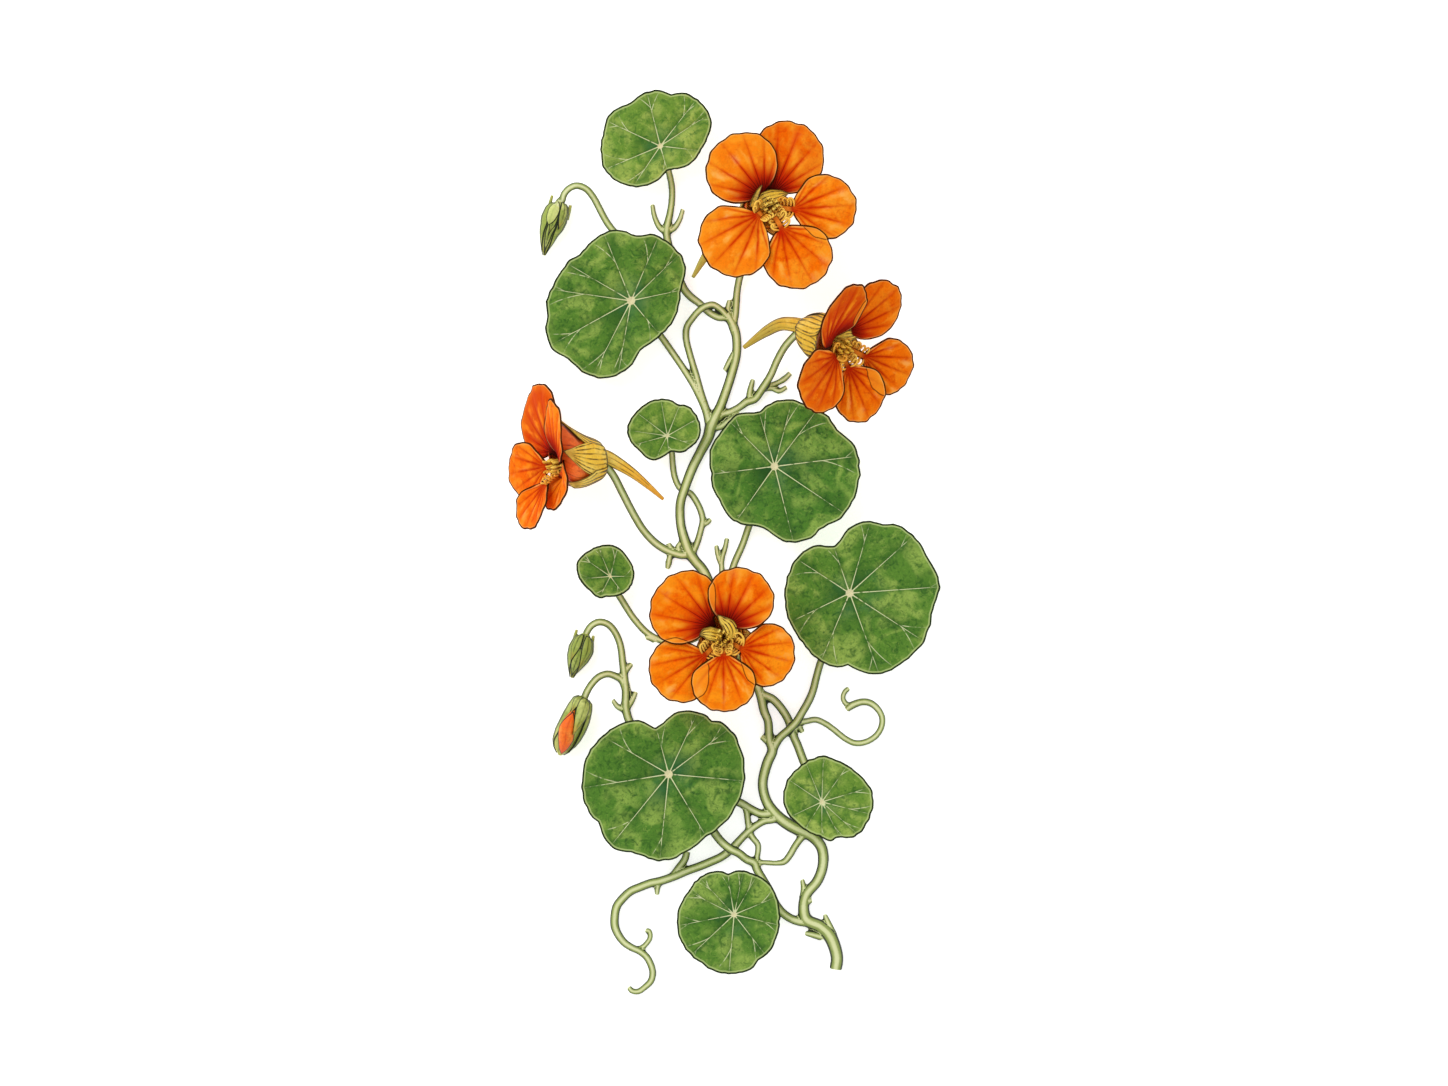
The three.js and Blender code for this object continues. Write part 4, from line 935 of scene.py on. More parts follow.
def petal_surface(size, seed, guide, under):
    """surface(u, v) of one petal: u goes across, v from the root to the margin."""
    turn, aim, spread = (math.radians(size[key]) for key in ("turn", "aim", "spread"))

    def ray(side):
        fan = FAN * side
        along = size["length"] * math.cos(fan) ** 2
        across = size["width"] / 2 * math.sin(2 * fan) - 0.3 * size["neck"] * side
        return math.atan2(across, along), math.hypot(across, along)

    def surface(u, v):
        side = 2 * u - 1
        claw = min(1, v / CLAW_SHARE)
        blade = max(0, (v - CLAW_SHARE) / (1 - CLAW_SHARE))
        base = PETAL_ROOT + (size["claw"] - PETAL_ROOT) * claw
        neck = ROOT_WIDTH + (size["neck"] - ROOT_WIDTH) * claw
        fan = FAN * side
        scallop = 0.007 * math.sin(27 * side + seed) + 0.007 * math.sin(47 * side + 2 * seed)
        scallop += 0.014 * wobble(7 * side, seed, 3)
        grown = blade * (1 + scallop * blade ** 6)
        along = size["length"] * math.cos(fan) ** 2 * grown
        slim = 1 - (1 - guide) * BASE_SLIMMING * max(0, 1 - along / (SLIM_SHARE * size["length"])) ** 1.5
        across = neck / 2 * side * (1 - 0.6 * blade) + size["width"] / 2 * math.sin(2 * fan) * grown * slim
        x = base * math.cos(turn) + along * math.cos(aim) + across * math.sin(aim)
        y = base * math.sin(turn) + along * math.sin(aim) - across * math.cos(aim)
        radius = math.hypot(x, y)
        (before, _), (_, reach), (after, _) = (ray(side + step) for step in (-0.01, 0, 0.01))
        spacing = (neck * (1 - 0.6 * blade) + 2 * blade * reach * abs(after - before) / 0.02) / PETAL_STREAKS
        tent = abs((PETAL_STREAKS * u) % 1 - 0.5)
        pleat = PLEAT * math.cos(2 * math.pi * PETAL_STREAKS * u) * min(1, 4 * blade) * (1 - 0.4 * blade)
        ruffle = 0.4 * blade ** 4 * math.sin(11 * side + seed)
        ruffle += 0.25 * blade * wobble(0.25 * x, 0.25 * y, seed)
        layer = LIFT * size["layer"] * min(1, radius / 5) + size["twist"] * across * blade
        z = trumpet(radius, spread) + layer + pleat + ruffle - PETAL_CURL * (radius / 28) ** 3
        place = Vector((x * math.sin(spread), y * math.sin(spread), z))
        lap = max([inside_by(place.to_2d(), *loop) for loop in under], default=-9.0)
        return place, (tent, spacing, blade if blade else claw - 1, radius, guide, u, lap, size["tone"])

    return surface


# %% [markdown]
# ### The finish of a petal
#
# The colour runs from yellow in the throat through a deep red glow to orange, and pales towards the
# margin. Soft red streaks follow the veins, and near the throat a fine dark line runs along each.
# On the two upper petals these lines are longer and stronger, and lead insects in. All of it follows
# from distances along the petal and from the throat, so twenty petals can share one recipe.

# %% Material of the petals


def petal_finish(name, tones, veiled):
    """Finish of a petal's face, or of its plainer back if veiled is above 0."""
    light, middle, deep, glow = (colour(tone) for tone in tones)
    material, tree = new_finish(name)
    streak, spacing, along, across = (measure(tree, key) for key in ("streak", "spacing", "along", "across"))
    out, guide, rim, lap = (measure(tree, key) for key in ("axis", "guide", "rim", "lap"))
    plain = calc(tree, "SUBTRACT", 1.0, guide)
    pigment = use(tree, wash, Light=light, Middle=middle, Deep=deep, Contrast=0.7)

    rays = put(tree, "ShaderNodeCombineXYZ")
    tone = measure(tree, "tone")
    feed(tree, rays.inputs["X"], times(tree, across, 13.0))
    feed(tree, rays.inputs["Y"], times(tree, along, 2.8))
    shift = calc(tree, "MULTIPLY_ADD", tone, 37.0, times(tree, pigment["Grain"], 0.4))
    feed(tree, rays.inputs["Z"], shift)
    drawn = put(tree, "ShaderNodeTexNoise")
    drawn.inputs["Scale"].default_value = 1.0
    drawn.inputs["Detail"].default_value = 3.0
    tree.links.new(rays.outputs[0], drawn.inputs["Vector"])
    blotch = between(tree, drawn.outputs["Fac"], 0.44, 0.68, 0.0, 1.0)
    uneven = between(tree, speckle(tree, 4, 3, 0.6), 0.3, 0.7, 0.5, 1.0)

    aside = calc(tree, "SUBTRACT", 0.5, streak)
    inner_part = between(tree, along, 0.12, 0.5)
    paler = times(tree, blotch, inner_part, between(tree, streak, 0.1, 0.4))
    base = over(tree, times(tree, tone, -0.6, clamp=True), pigment["Color"], deep)
    base = over(tree, times(tree, tone, 0.6, clamp=True), base, light)
    base = over(tree, times(tree, paler, 0.85), base, light)
    # painted highlight: pale patches on the outer half of the blade, stronger on lighter petals
    shine = times(tree, between(tree, drawn.outputs["Fac"], 0.52, 0.8), between(tree, along, 0.35, 0.7))
    shine = times(tree, shine, calc(tree, "MULTIPLY_ADD", tone, 0.5, 0.35), clamp=True)
    base = over(tree, shine, base, colour("ffcc80"))
    base = over(tree, between(tree, rim, 0.3, 4.0, 0.3, 0.0), base, light)

    from_streak = times(tree, streak, spacing)
    soft = line_at(tree, from_streak, 0.16, 0.85)
    soft = times(tree, soft, uneven, between(tree, along, 0.45, 1.0, 0.85, 0.25))
    base = over(tree, soft, base, deep)
    fine = line_at(tree, from_streak, 0.07, 0.2)
    fine = times(tree, fine, uneven, between(tree, along, 0.35, 0.95, 0.75, 0.15))
    base = over(tree, fine, base, glow)

    reach = calc(tree, "MULTIPLY_ADD", streak, -0.3, 0.62)
    warm = between(tree, along, 0.05, reach, 1.0, 0.0)
    base = over(tree, times(tree, warm, uneven, 0.95), base, glow)
    red_zone = times(tree, between(tree, out, 9.0, 18.0, 1.0, 0.0), guide)
    face_share = 1 - 2.5 * veiled
    base = over(tree, times(tree, red_zone, 0.9 * face_share), base, colour("c01c04"))
    dark_zone = times(tree, between(tree, out, 7.0, 12.5, 1.0, 0.0), guide)
    base = over(tree, times(tree, dark_zone, 0.85 * face_share), base, colour("7c0e04"))

    core = line_at(tree, from_streak, 0.1, 0.14)
    second = line_at(tree, times(tree, aside, spacing), 0.08, 0.12)
    core_end = calc(tree, "MULTIPLY_ADD", guide, 0.24, 0.36)
    core = times(tree, core, between(tree, along, 0.04, core_end, 1.0, 0.0))
    second = times(tree, second, between(tree, along, 0.0, times(tree, core_end, 0.65), 1.0, 0.0))
    lines = calc(tree, "MAXIMUM", core, times(tree, second, guide))
    line_tone = over(tree, guide, colour("a82606"), colour("2e0604"))
    base = over(tree, times(tree, lines, 0.9 * face_share), base, line_tone)

    claw_zone = times(tree, between(tree, along, -0.35, 0.07, 1.0, 0.0), plain)
    base = over(tree, times(tree, claw_zone, 0.9), base, colour("f5902c"))
    claw_lines = times(tree, claw_zone, between(tree, streak, 0.0, 0.16, 0.45, 0.0))
    base = over(tree, times(tree, claw_lines, face_share), base, colour("a8480c"))

    # painted translucency: a paler lens where this petal lies over another, and the hidden margin seen
    # through as a dark line
    lens = between(tree, lap, -0.02, 0.15)
    base = over(tree, times(tree, lens, 0.5), base, colour("fc9a26"))
    seen_margin = line_at(tree, calc(tree, "ABSOLUTE", lap), 0.14, 0.14)
    base = over(tree, times(tree, seen_margin, 0.8), base, colour("5a2208"))

    margin = line_at(tree, rim, 0.44, 0.12)
    margin = times(tree, margin, between(tree, along, -1.0, 0.0, 0.5, 0.95))
    # painted highlight: a pale line just inside the margin
    rim_highlight = line_at(tree, apart(tree, rim, 0.62), 0.08, 0.2)
    rim_highlight = times(tree, rim_highlight, uneven, between(tree, along, 0.2, 0.6, 0.0, 0.5))
    base = over(tree, rim_highlight, base, colour("ffc070"))
    base = over(tree, veiled, base, colour("ff9a36"))
    base = over(tree, margin, base, colour("280d03"))
    end_finish(tree, base, pigment["Grain"], soft, rough=(0.55, 0.72),
               strength=0.3, depth=0.1, gloss=0.02)
    return material


# %% [markdown]
# The claws of the lower petals carry a fringe of fleshy fingers that curl over the throat, and
# keep small insects out. Hair would grow them faster, but too straight and even. Each finger is a
# tube of its own that starts on the claw's edge and curls by its own measure.

# %% Fringe of the lower petals
FRINGE = 6
FIRST_FINGER = 3.4
FINGER_SIDES = 8
FINGER_DETAIL = 5


def strand_finish(name, light, middle, deep, edge):
    """Finish of a fleshy strand: a painted highlight on top, with a painted shade line to each side."""
    material, tree = new_finish(name)
    shader = tree.nodes["Principled BSDF"]
    aside, along = measure(tree, "edge"), measure(tree, "along")
    pigment = use(tree, wash, Light=colour(light), Middle=colour(middle), Deep=colour(deep), Contrast=0.8)
    base = over(tree, between(tree, along, 0.0, 0.35, 0.8, 0.0), pigment["Color"], colour(deep))
    # painted highlight on top, and a painted shade line at each side, from how far a point lies to the side
    base = over(tree, between(tree, aside, 0.1, 0.5, 0.6, 0.0), base, colour(light))
    base = over(tree, between(tree, aside, 0.78, 0.9, 0.0, 0.95), base, colour(edge))
    feed(tree, shader.inputs["Base Color"], base)
    shader.inputs["Roughness"].default_value = 0.5
    shader.inputs["Specular IOR Level"].default_value = 0.15
    return material


def up_in(place):
    """The way up from the table, in the frame of a flower."""
    return place.to_3x3().transposed() @ UP


def finger_route(size, number, side, seed, reach):
    """The route of one finger, which leaves the claw sideways and curls back over it."""
    turn, spread = math.radians(size["turn"]), math.radians(size["spread"])
    outward = Vector((math.cos(turn), math.sin(turn), 0))
    sideways = Vector((-math.sin(turn), math.cos(turn), 0)) * side
    chance = wobble(3.7 * number, 5.1 * side, seed)
    distance = FIRST_FINGER + (size["claw"] - 3.0) * number / (FRINGE - 1)
    lift = trumpet(distance, spread) + LIFT * size["layer"] * min(1, distance / 5)
    root = outward * distance * math.sin(spread) + sideways * 0.45 * size["neck"] + Vector((0, 0, lift))
    long = reach * (0.95 + 0.5 * chance)
    steps = [(0.0, 0.0, 0.0, 0.85), (0.9, -0.3, 0.8, 0.9), (1.9, -0.9, 1.3, 0.9), (2.3, -2.0, 1.5, 0.8),
             (1.5, -2.6, 1.3, 0.7), (0.8, -2.1, 1.1, 0.5)]
    route = []
    for away, back, rise, thick in steps:
        spot = root + sideways * away * long + outward * back * (long + 0.6 * chance) + Vector((0, 0, rise))
        route.append((spot.x, spot.y, thick, spot.z))
    return route


fringe_skin = strand_finish("fringe_skin", "ffd45c", "fcae30", "e07c18", "3c1c04")
print("fingers on a petal:", 2 * FRINGE)

# %% [markdown]
# ### The finish of ribbed parts
#
# Cups, spurs, hoods and buds are fleshy, with fine furrows from end to end. The marks in them could
# be painted one by one. Here the mesh tells at each point how far the next furrow is, so one recipe
# serves them all, and the furrows also get painted shade. Where a part falls away steeply from the
# view above, it is painted dark as shade, a line that sets it off from what lies behind.

# %% Material of sepals, spurs and hoods
STEEP_FROM = 0.84
STEEP_TO = 0.93


def rib_finish(name, light, middle, deep, mark, tip, tip_start, tip_end, marks=0.8, fine=0.07):
    """Finish of a ribbed yellow or green part: dark marks and painted shade in the furrows, painted shade
    where it turns steep, and another tone at the tip.
    """
    material, tree = new_finish(name)
    streak, spacing, along = (measure(tree, key) for key in ("streak", "spacing", "along"))
    pigment = use(tree, wash, Light=colour(light), Middle=colour(middle), Deep=colour(deep), Contrast=0.7)
    base = over(tree, between(tree, along, tip_start, tip_end), pigment["Color"], colour(tip))
    uneven = between(tree, speckle(tree, 3, 3, 0.6), 0.35, 0.65, 0.25, 1.0)
    from_rib = times(tree, streak, spacing)
    # painted shade: darker in the furrows
    shade = line_at(tree, from_rib, 0.1, 0.45)
    base = over(tree, times(tree, shade, 0.5, uneven), base, colour(deep))
    core = line_at(tree, from_rib, fine, 0.13)
    core = times(tree, core, uneven, marks)
    core = times(tree, core, between(tree, along, 0.72, 0.92, 1.0, 0.15))
    base = over(tree, core, base, colour(mark))
    # painted shade: dark where the surface turns steep, seen from above
    steep = between(tree, measure(tree, "edge"), STEEP_FROM, STEEP_TO, 0.0, 0.9)
    base = over(tree, steep, base, colour(mark))
    end_finish(tree, base, pigment["Grain"], shade, rough=(0.42, 0.6),
               strength=0.3, depth=0.1, gloss=0.3)
    return material


def rimmed(material, mark, share=0.8, half=0.16):
    """Adds the thin dark line at a blade's margin to a finish."""
    tree = material.node_tree
    shader = tree.nodes["Principled BSDF"]
    under = shader.inputs["Base Color"].links[0].from_socket
    margin = line_at(tree, measure(tree, "rim"), half, 0.14)
    feed(tree, shader.inputs["Base Color"], over(tree, times(tree, margin, share), under, colour(mark)))
    return material


HOOD_THICKNESS = 0.4
HOOD_STREAKS = 4
HOOD_COLUMNS = 20
HOOD_DETAIL = 8
HOOD_HOLLOW = 0.12
SHORT_FINGER = 0.32
hood_ribs = rib_finish("hood_skin", "ffe66c", "f8ca3c", "dca026", "3c2206", "ffd850", 0.6, 1.0, 1.0, 0.15)
hood_skin = rimmed(hood_ribs, "3c2206")

# %% [markdown]
# ### Putting the petals together
#
# Each petal is shaped in its flower's own frame, gets its fringe or its yellow hood, and is then
# turned the way the flower faces. A petal could be bent by hand instead. The formula lets all twenty
# follow the trumpet of their flower, one layer above another, without cutting through.

# %% Open the petals
for flower_name, flower in FLOWERS.items():
    place = flower_frame(flower)
    face = petal_finish(flower_name + "_petal_face", PETAL_TONES[flower_name], 0.0)
    back = petal_finish(flower_name + "_petal_back", PETAL_TONES[flower_name], 0.35)
    petals = {name: dict(zip(PETAL_SIZES, sizes)) for name, sizes in flower["petals"].items()}
    hoods = HOODS.get(flower_name, {})
    finger = 1.0 if hoods else SHORT_FINGER
    up = up_in(place)
    for index, (petal_name, size) in enumerate(petals.items()):
        guide = 1.0 if petal_name.startswith("upper") else 0.0
        seed = 2.3 * index + sum(flower["throat"])
        loops = [petal_outline(petals[other]) for other in LAPS[flower_name].get(petal_name, [])]
        under = [(loop, lap_tree(loop)) for loop in loops]
        names = ["streak", "spacing", "along", "axis", "guide", "across", "lap", "tone"]
        bm = blade_grid(PETAL_COLUMNS, PETAL_ROWS, petal_surface(size, seed, guide, under), names)
        rim_distance(bm)
        moved(bm, place)
        node = f"{flower_name}_petal_{petal_name}"
        piece = thickened(to_object(bm, node + "_blade", [face, back]), PETAL_THICKNESS)
        if not guide:
            fingers = []
            for side in (-1, 1):
                for number in range(FRINGE):
                    route = finger_route(size, number, side, seed, finger)
                    bm = tube(route, FINGER_SIDES, FINGER_DETAIL, up=up)
                    fingers.append(to_object(moved(bm, place), "finger", [fringe_skin]))
            piece = joined([piece] + fingers, piece.name)
        if petal_name in hoods:
            bm = ribbon(hoods[petal_name], HOOD_COLUMNS, HOOD_DETAIL, HOOD_STREAKS, HOOD_HOLLOW)
            moved(bm, place)
            hood = thickened(to_object(bm, "hood", [hood_skin, hood_skin]), HOOD_THICKNESS)
            piece = joined([piece, hood], piece.name)
        stands_for(piece, node)
    print(flower_name, triangles(piece), "triangles a petal")

# %% [markdown]
# ## Cups, spurs and stamens
#
# Behind the petals five sepals are fused into a cup. They overlap like roof tiles, one edge over
# the next sepal and one under it. The uppermost is drawn out into the spur, which holds the nectar.

# %% The sepals' surface
SEPALS = 5
SEPAL_COLUMNS = 28
SEPAL_ROWS = 26
SEPAL_THICKNESS = 0.5
SEPAL_RIBS = 7
SEPAL_HALF_TURN = 46
SEPAL_LAP = 0.42
LINING_LINES = 20
FUNNEL_LINE_TURN = 14
CUP_LINE = [(0.4, -15.5), (4.6, -13.95), (7.9, -8.7), (8.3, -2.2), (11.4, -0.3)]  # from the axis, height
FUNNELS = {  # the claws that show behind the petals: first and last angle, line from the axis, widening
    "flower_2": (105, 255, [(7.3, -5.4), (7.9, -2.4), (9.6, 0.6), (11.8, 4.6)], 0),
    "flower_3": (0, 360, [(9.2, -6.4), (10, -4), (9.4, -1.6), (7, 1.1)], 6.6),
}
WIDEST = math.radians(75)
USUAL_PART = (0.42, 1.4)  # where sepals begin to narrow, and how suddenly
SEPALS_PART = {"flower_2": (0.6, 1.4), "flower_3": (0.5, 0.9)}
LONG_SEPALS = {  # how much further out and up some of them reach, and how far they turn
    "flower_2": {2: (0.6, 2.9, 0), 3: (0.6, 2.9, 0)},
    "flower_3": {0: (-1.9, 1.5, 6), 1: (2.6, -0.2, 10), 4: (-0.8, -0.3, 12)},
}


def cup_place(flower, turn, radius, height):
    """A point of the cup, with the flower's own lean at the bottom and flare at the mouth."""
    bend = (height / CUP_DEPTH) ** 2
    wide = (1 + height / CUP_DEPTH) ** 2
    x = radius * math.cos(turn) + flower["lean"][0] * bend + flower["flare"][0] * wide
    y = radius * math.sin(turn) + flower["lean"][1] * bend + flower["flare"][1] * wide
    return x, y, height


def sepal_surface(flower, number, part, longer):
    """surface(u, v) of one sepal: u goes across, v from the bottom of the cup to the tip."""
    outline = [Vector((radius, 0, height)) for radius, height in flower.get("cup", CUP_LINE)]

    def surface(u, v):
        side = 2 * u - 1
        spot = through(outline, v)
        narrowing = max(0.0, (v - part[0]) / (1 - part[0]))
        half = math.radians(SEPAL_HALF_TURN) * (1 - narrowing ** part[1])
        late = max(0.0, 2 * v - 1) ** 2
        turn = 2 * math.pi * number / SEPALS + half * side + math.radians(longer[2]) * late
        rib = 0.14 * math.cos(2 * math.pi * SEPAL_RIBS * (u - 0.5)) * min(1, 4 * v)
        lapped = (SEPAL_LAP * side + 0.1) * min(1, 4 * v) * (1 - 0.5 * narrowing)
        radius = spot.x + lapped + rib + longer[0] * late
        tent = abs((SEPAL_RIBS * u) % 1 - 0.5)
        spacing = 2 * half * spot.x / SEPAL_RIBS
        return cup_place(flower, turn, radius, spot.z + longer[1] * late), (tent, spacing, v)

    return surface


def lining_surface(flower):
    """surface(u, v) of the smooth inside of the cup: u goes round, v up to the throat."""
    line_out = flower.get("cup", CUP_LINE)[:4]
    outline = [Vector((max(0, radius - 0.9), 0, height + 0.6)) for radius, height in line_out]

    def surface(u, v):
        spot = through(outline, v)
        radius = spot.x if v > 0 else 0
        tent = abs((LINING_LINES * u) % 1 - 0.5)
        spacing = 2 * math.pi * radius / LINING_LINES
        return cup_place(flower, 2 * math.pi * u, radius, spot.z), (tent, spacing, v)

    return surface


def funnel_surface(flower, first, last, line_out, widening):
    """surface(u, v) of the claws' common outside, between the sepals and the petals."""
    outline = [Vector((radius, 0, height)) for radius, height in line_out]

    def surface(u, v):
        spot = through(outline, v)
        turn = math.radians(first + (last - first) * u)
        lines = (last - first) / FUNNEL_LINE_TURN
        tent = abs((lines * u) % 1 - 0.5)
        radius = spot.x + widening * v ** 2 * max(0, math.cos(turn - WIDEST)) ** 2
        spacing = math.radians(FUNNEL_LINE_TURN) * radius
        return cup_place(flower, turn, radius, spot.z), (tent, spacing, v)

    return surface


# %% [markdown]
# A cup could be one closed bell with painted seams. As blades of their own the sepals overlap for
# real, and their margins throw the small shadows that tell them apart. A smooth lining closes the cup
# inside. Flowers that are seen from the side also show the petals' claws above it, as a funnel.

# %% Cups and spurs
CALYX_TONES = {  # light, middle, deep, marks, the spur's tip
    "flower_1": ("f0d468", "dcb848", "b09a38", "4e4212", "b4ab4c"),
    "flower_2": ("f8dc68", "ecc03a", "c8961e", "33260a", "c0b048"),
    "flower_3": ("ffe676", "fccc40", "e0a022", "33260a", "f6ae34"),
    "flower_4": ("f0d468", "dcb848", "b8922c", "4e3a12", "c8ac3c"),
}
SPUR_SIDES = 40
SPUR_DETAIL = 12
SPUR_RIBS = 8
SPUR_RIDGE = 0.07
LINING_GRID = (60, 20)
FUNNEL_GRID = (120, 10)
LINING_THICKNESS = 0.3
CUP_NARROW = 1.3

for flower_name, flower in FLOWERS.items():
    light, middle, deep, mark, tip = CALYX_TONES[flower_name]
    place = flower_frame(flower)
    ribbed = rib_finish(flower_name + "_sepal", light, middle, deep, mark, light, 0.7, 1.0, 1.0, 0.11)
    skin = rimmed(ribbed, mark)
    lining = rib_finish(flower_name + "_lining", "f6c044", "e0a02a", "b06c18", "3c1c08", "f6c040", 0.6, 1.0)
    claws = rib_finish(flower_name + "_claws", "ff8430", "f2641c", "c43c08", "541804", "ee6418", 0.6, 1.0)
    horn = rib_finish(flower_name + "_spur", light, middle, deep, mark, tip, 0.35, 0.95)
    parts = []
    for number in range(SEPALS):
        longer = LONG_SEPALS.get(flower_name, {}).get(number, (0, 0, 0))
        part = SEPALS_PART.get(flower_name, USUAL_PART)
        shape = sepal_surface(flower, number, part, longer)
        bm = blade_grid(SEPAL_COLUMNS, SEPAL_ROWS, shape, RIB_MEASURES)
        rim_distance(bm)
        moved(bm, place)
        if flower_name in FUNNELS:
            steepness(bm, CUP_NARROW)
        parts.append(thickened(to_object(bm, "sepal", [skin, skin]), SEPAL_THICKNESS))
    bm = blade_grid(*LINING_GRID, lining_surface(flower), RIB_MEASURES)
    bmesh.ops.reverse_faces(bm, faces=bm.faces)
    moved(bm, place)
    parts.append(thickened(to_object(bm, "lining", [lining, claws]), LINING_THICKNESS))
    if flower_name in FUNNELS:
        shape = funnel_surface(flower, *FUNNELS[flower_name])
        bm = blade_grid(*FUNNEL_GRID, shape, RIB_MEASURES)
        moved(bm, place)
        steepness(bm, CUP_NARROW)
        parts.append(thickened(to_object(bm, "funnel", [claws, claws]), LINING_THICKNESS))
    bm = tube(flower["spur"], SPUR_SIDES, SPUR_DETAIL, SPUR_RIBS, SPUR_RIDGE, up_in(place))
    moved(bm, place)
    parts.append(to_object(bm, "spur", [horn]))
    piece = joined(parts, flower_name + "_cup")
    stands_for(piece, flower_name + "_calyx")
    print(piece.name, triangles(piece), "triangles")

# %% [markdown]
# Eight stamens and the style stand in the throat. Each is a thin stalk with a swollen head, and
# together they spread like a small brush. Copies of one would stand too evenly, so each has its own
# route, with its head at a height of its own. The ninth route is the style's.

# %% Stamens
STAMENS = 9
FIRST_STAMEN = -172
STAMEN_STEP = 41
STAMEN_SIDES = 10
STAMEN_DETAIL = 6


def stamen_route(flower, number):
    """The route of one stamen; the last one is the style."""
    shift = Vector((flower["lean"][0] * 0.45, flower["lean"][1] * 0.45))
    style = number == STAMENS - 1
    turn = math.radians(FIRST_STAMEN + STAMEN_STEP * number)
    reach = 0.6 if style else 1.9 + 0.6 * abs(math.sin(2.1 * number))
    tip = (8 if style else 5.4 + 1.2 * math.cos(1.7 * number)) * flower.get("brush", 1)
    x, y = math.cos(turn), math.sin(turn)
    head = 0.8 if style else 1.35
    return [(shift.x + 0.6 * x, shift.y + 0.6 * y, 0.8, -0.7 * CUP_DEPTH - 1.2), (1.8 * x, 1.8 * y, 0.8, -1),
            (reach * x, reach * y - 0.2, 0.8, tip - 1.8), (reach * x, reach * y - 0.25, head, tip - 1.0),
            (reach * x, reach * y - 0.3, head, tip), (reach * x, reach * y - 0.3, 0.7, tip + 0.7)]


for flower_name, flower in FLOWERS.items():
    place = flower_frame(flower)
    pollen = strand_finish(flower_name + "_stamen", "ffe672", "f8c43c", "d49420", "3c2206")
    parts = []
    for number in range(STAMENS):
        bm = tube(stamen_route(flower, number), STAMEN_SIDES, STAMEN_DETAIL, 3, 0.0, up_in(place))
        moved(bm, place)
        parts.append(to_object(bm, "stamen", [pollen]))
    piece = joined(parts, flower_name + "_brush")
    stands_for(piece, flower_name + "_stamens")
    print(piece.name, triangles(piece), "triangles")

# %% [markdown]
# ## Buds
#
# A bud is a ribbed, pointed body that nods from its stalk, with the tips of its outer sepals bent
# away. The third is about to open: its orange petals show between the green sepals.

# %% Sizes of the buds
# x, y, thickness and height of the middle, along each bud
BUDS = {
    "bud_1": [(-58.8, 122.9, 2.4, 5.3), (-59, 121.4, 6.4, 5.3), (-59.6, 119.5, 8.3, 5.2),
        (-60.7, 116.4, 9, 5.1), (-61.4, 114.3, 8.3, 4.9), (-62.3, 112.1, 6.9, 4.6),
        (-63.2, 108.8, 4.7, 3.7), (-63.8, 106.5, 2.9, 2.8), (-64.2, 104.7, 1.5, 2.2),
        (-64.4, 103.5, 0.6, 1.8)],
    "bud_2": [(-49.2, -32.6, 2.4, 5), (-50, -34.8, 7, 5), (-51, -38.2, 8.8, 4.8),
        (-52.2, -41.4, 7.6, 4.3), (-53.3, -44.4, 4.8, 3.2), (-54, -46.6, 2.4, 2.3),
        (-54.4, -48.4, 0.9, 1.6)],
    "bud_3_calyx": [(-49.8, -55.3, 2.6, 7), (-50.4, -56.6, 6.6, 7), (-51.3, -59.1, 8.3, 7),
        (-52.6, -62.5, 9.5, 6.9), (-54.1, -65.8, 9.8, 6.7), (-55.7, -68.8, 9.5, 6.2),
        (-57.1, -71.5, 8.2, 5.2), (-58, -74.1, 5.4, 4.2), (-58.7, -76.2, 1.3, 3.4)],
}
BUD_3_PETALS = [(-53.6, -60, 1.2, 11.2), (-54.6, -62.6, 3.8, 10.5), (-55.9, -66, 6, 9.9),
    (-56.4, -69.8, 5.8, 8.8), (-57.3, -73, 3.8, 7), (-58, -75.2, 1.4, 5.4)]
SEPAL_TIPS = {
    "bud_1": [
        [(-61.8, 117, 2, 4.2), (-62.2, 121.6, 1.4, 4.6), (-61.4, 125, 0.9, 5)],
        [(-56.4, 116.4, 2, 4.2), (-55.4, 119.2, 1.4, 4.6), (-54.8, 121.4, 1, 5)]],
    "bud_2": [
        [(-53.4, -37, 2, 4.2), (-53.2, -33.8, 1.4, 4.4), (-52.6, -31.2, 0.9, 4.6)],
        [(-48, -37.4, 2, 4.2), (-47, -35.2, 1.4, 4.6), (-46.6, -33.4, 0.9, 5)]],
}
# angle round the body (0 is its right flank as one looks to the tip, 90 its top), start and end
# along it, half its width as an angle, how far it stands off
BUD_SEPALS = {
    "bud_1": [(152, 0.06, 0.98, 46, 0.2), (24, 0.06, 0.98, 46, 0.25), (90, 0.3, 0.97, 24, 0.25),
        (90, 0.2, 0.6, 18, 0.4), (124, 0.04, 0.46, 26, 0.6)],
    "bud_2": [(152, 0.1, 0.98, 46, 0.2), (24, 0.1, 0.98, 48, 0.25), (88, 0.3, 0.97, 32, 0.3),
        (62, 0.06, 0.55, 27, 0.6), (116, 0.06, 0.62, 27, 0.85)],
    "bud_3_calyx": [(168, 0.04, 0.97, 40, 0.3), (14, 0.04, 0.97, 48, 0.3), (64, 0.03, 0.34, 26, 0.9),
        (104, 0.03, 0.56, 30, 1.9)],
}
BUD_1_CAP = (76, 0.02, 0.42, 26, 0.9)
BUD_3_LENS = (92, 0.03, 0.98, 60, 0.5)
BUD_SIDES = 60
BUD_DETAIL = 10
BUD_RIBS = 5
BUD_RIDGE = 0.1
ROLLED_RIBS = 4
ROLLED_RIDGE = 0.12
TIP_RIBS = 2
BUD_SEPAL_GRID = (16, 40)
TIP_SIDES = 12
SEPAL_BLADE = 0.3
BUD_OUTLINE = 0.34

# %% [markdown]
# The sepals of a bud lie close against it. They could be drawn on its body as lines. Here each is a
# blade that is wrapped round the same route as the body, a little further out, so that it follows
# every swelling of the bud and casts a real edge.

# %% Buds


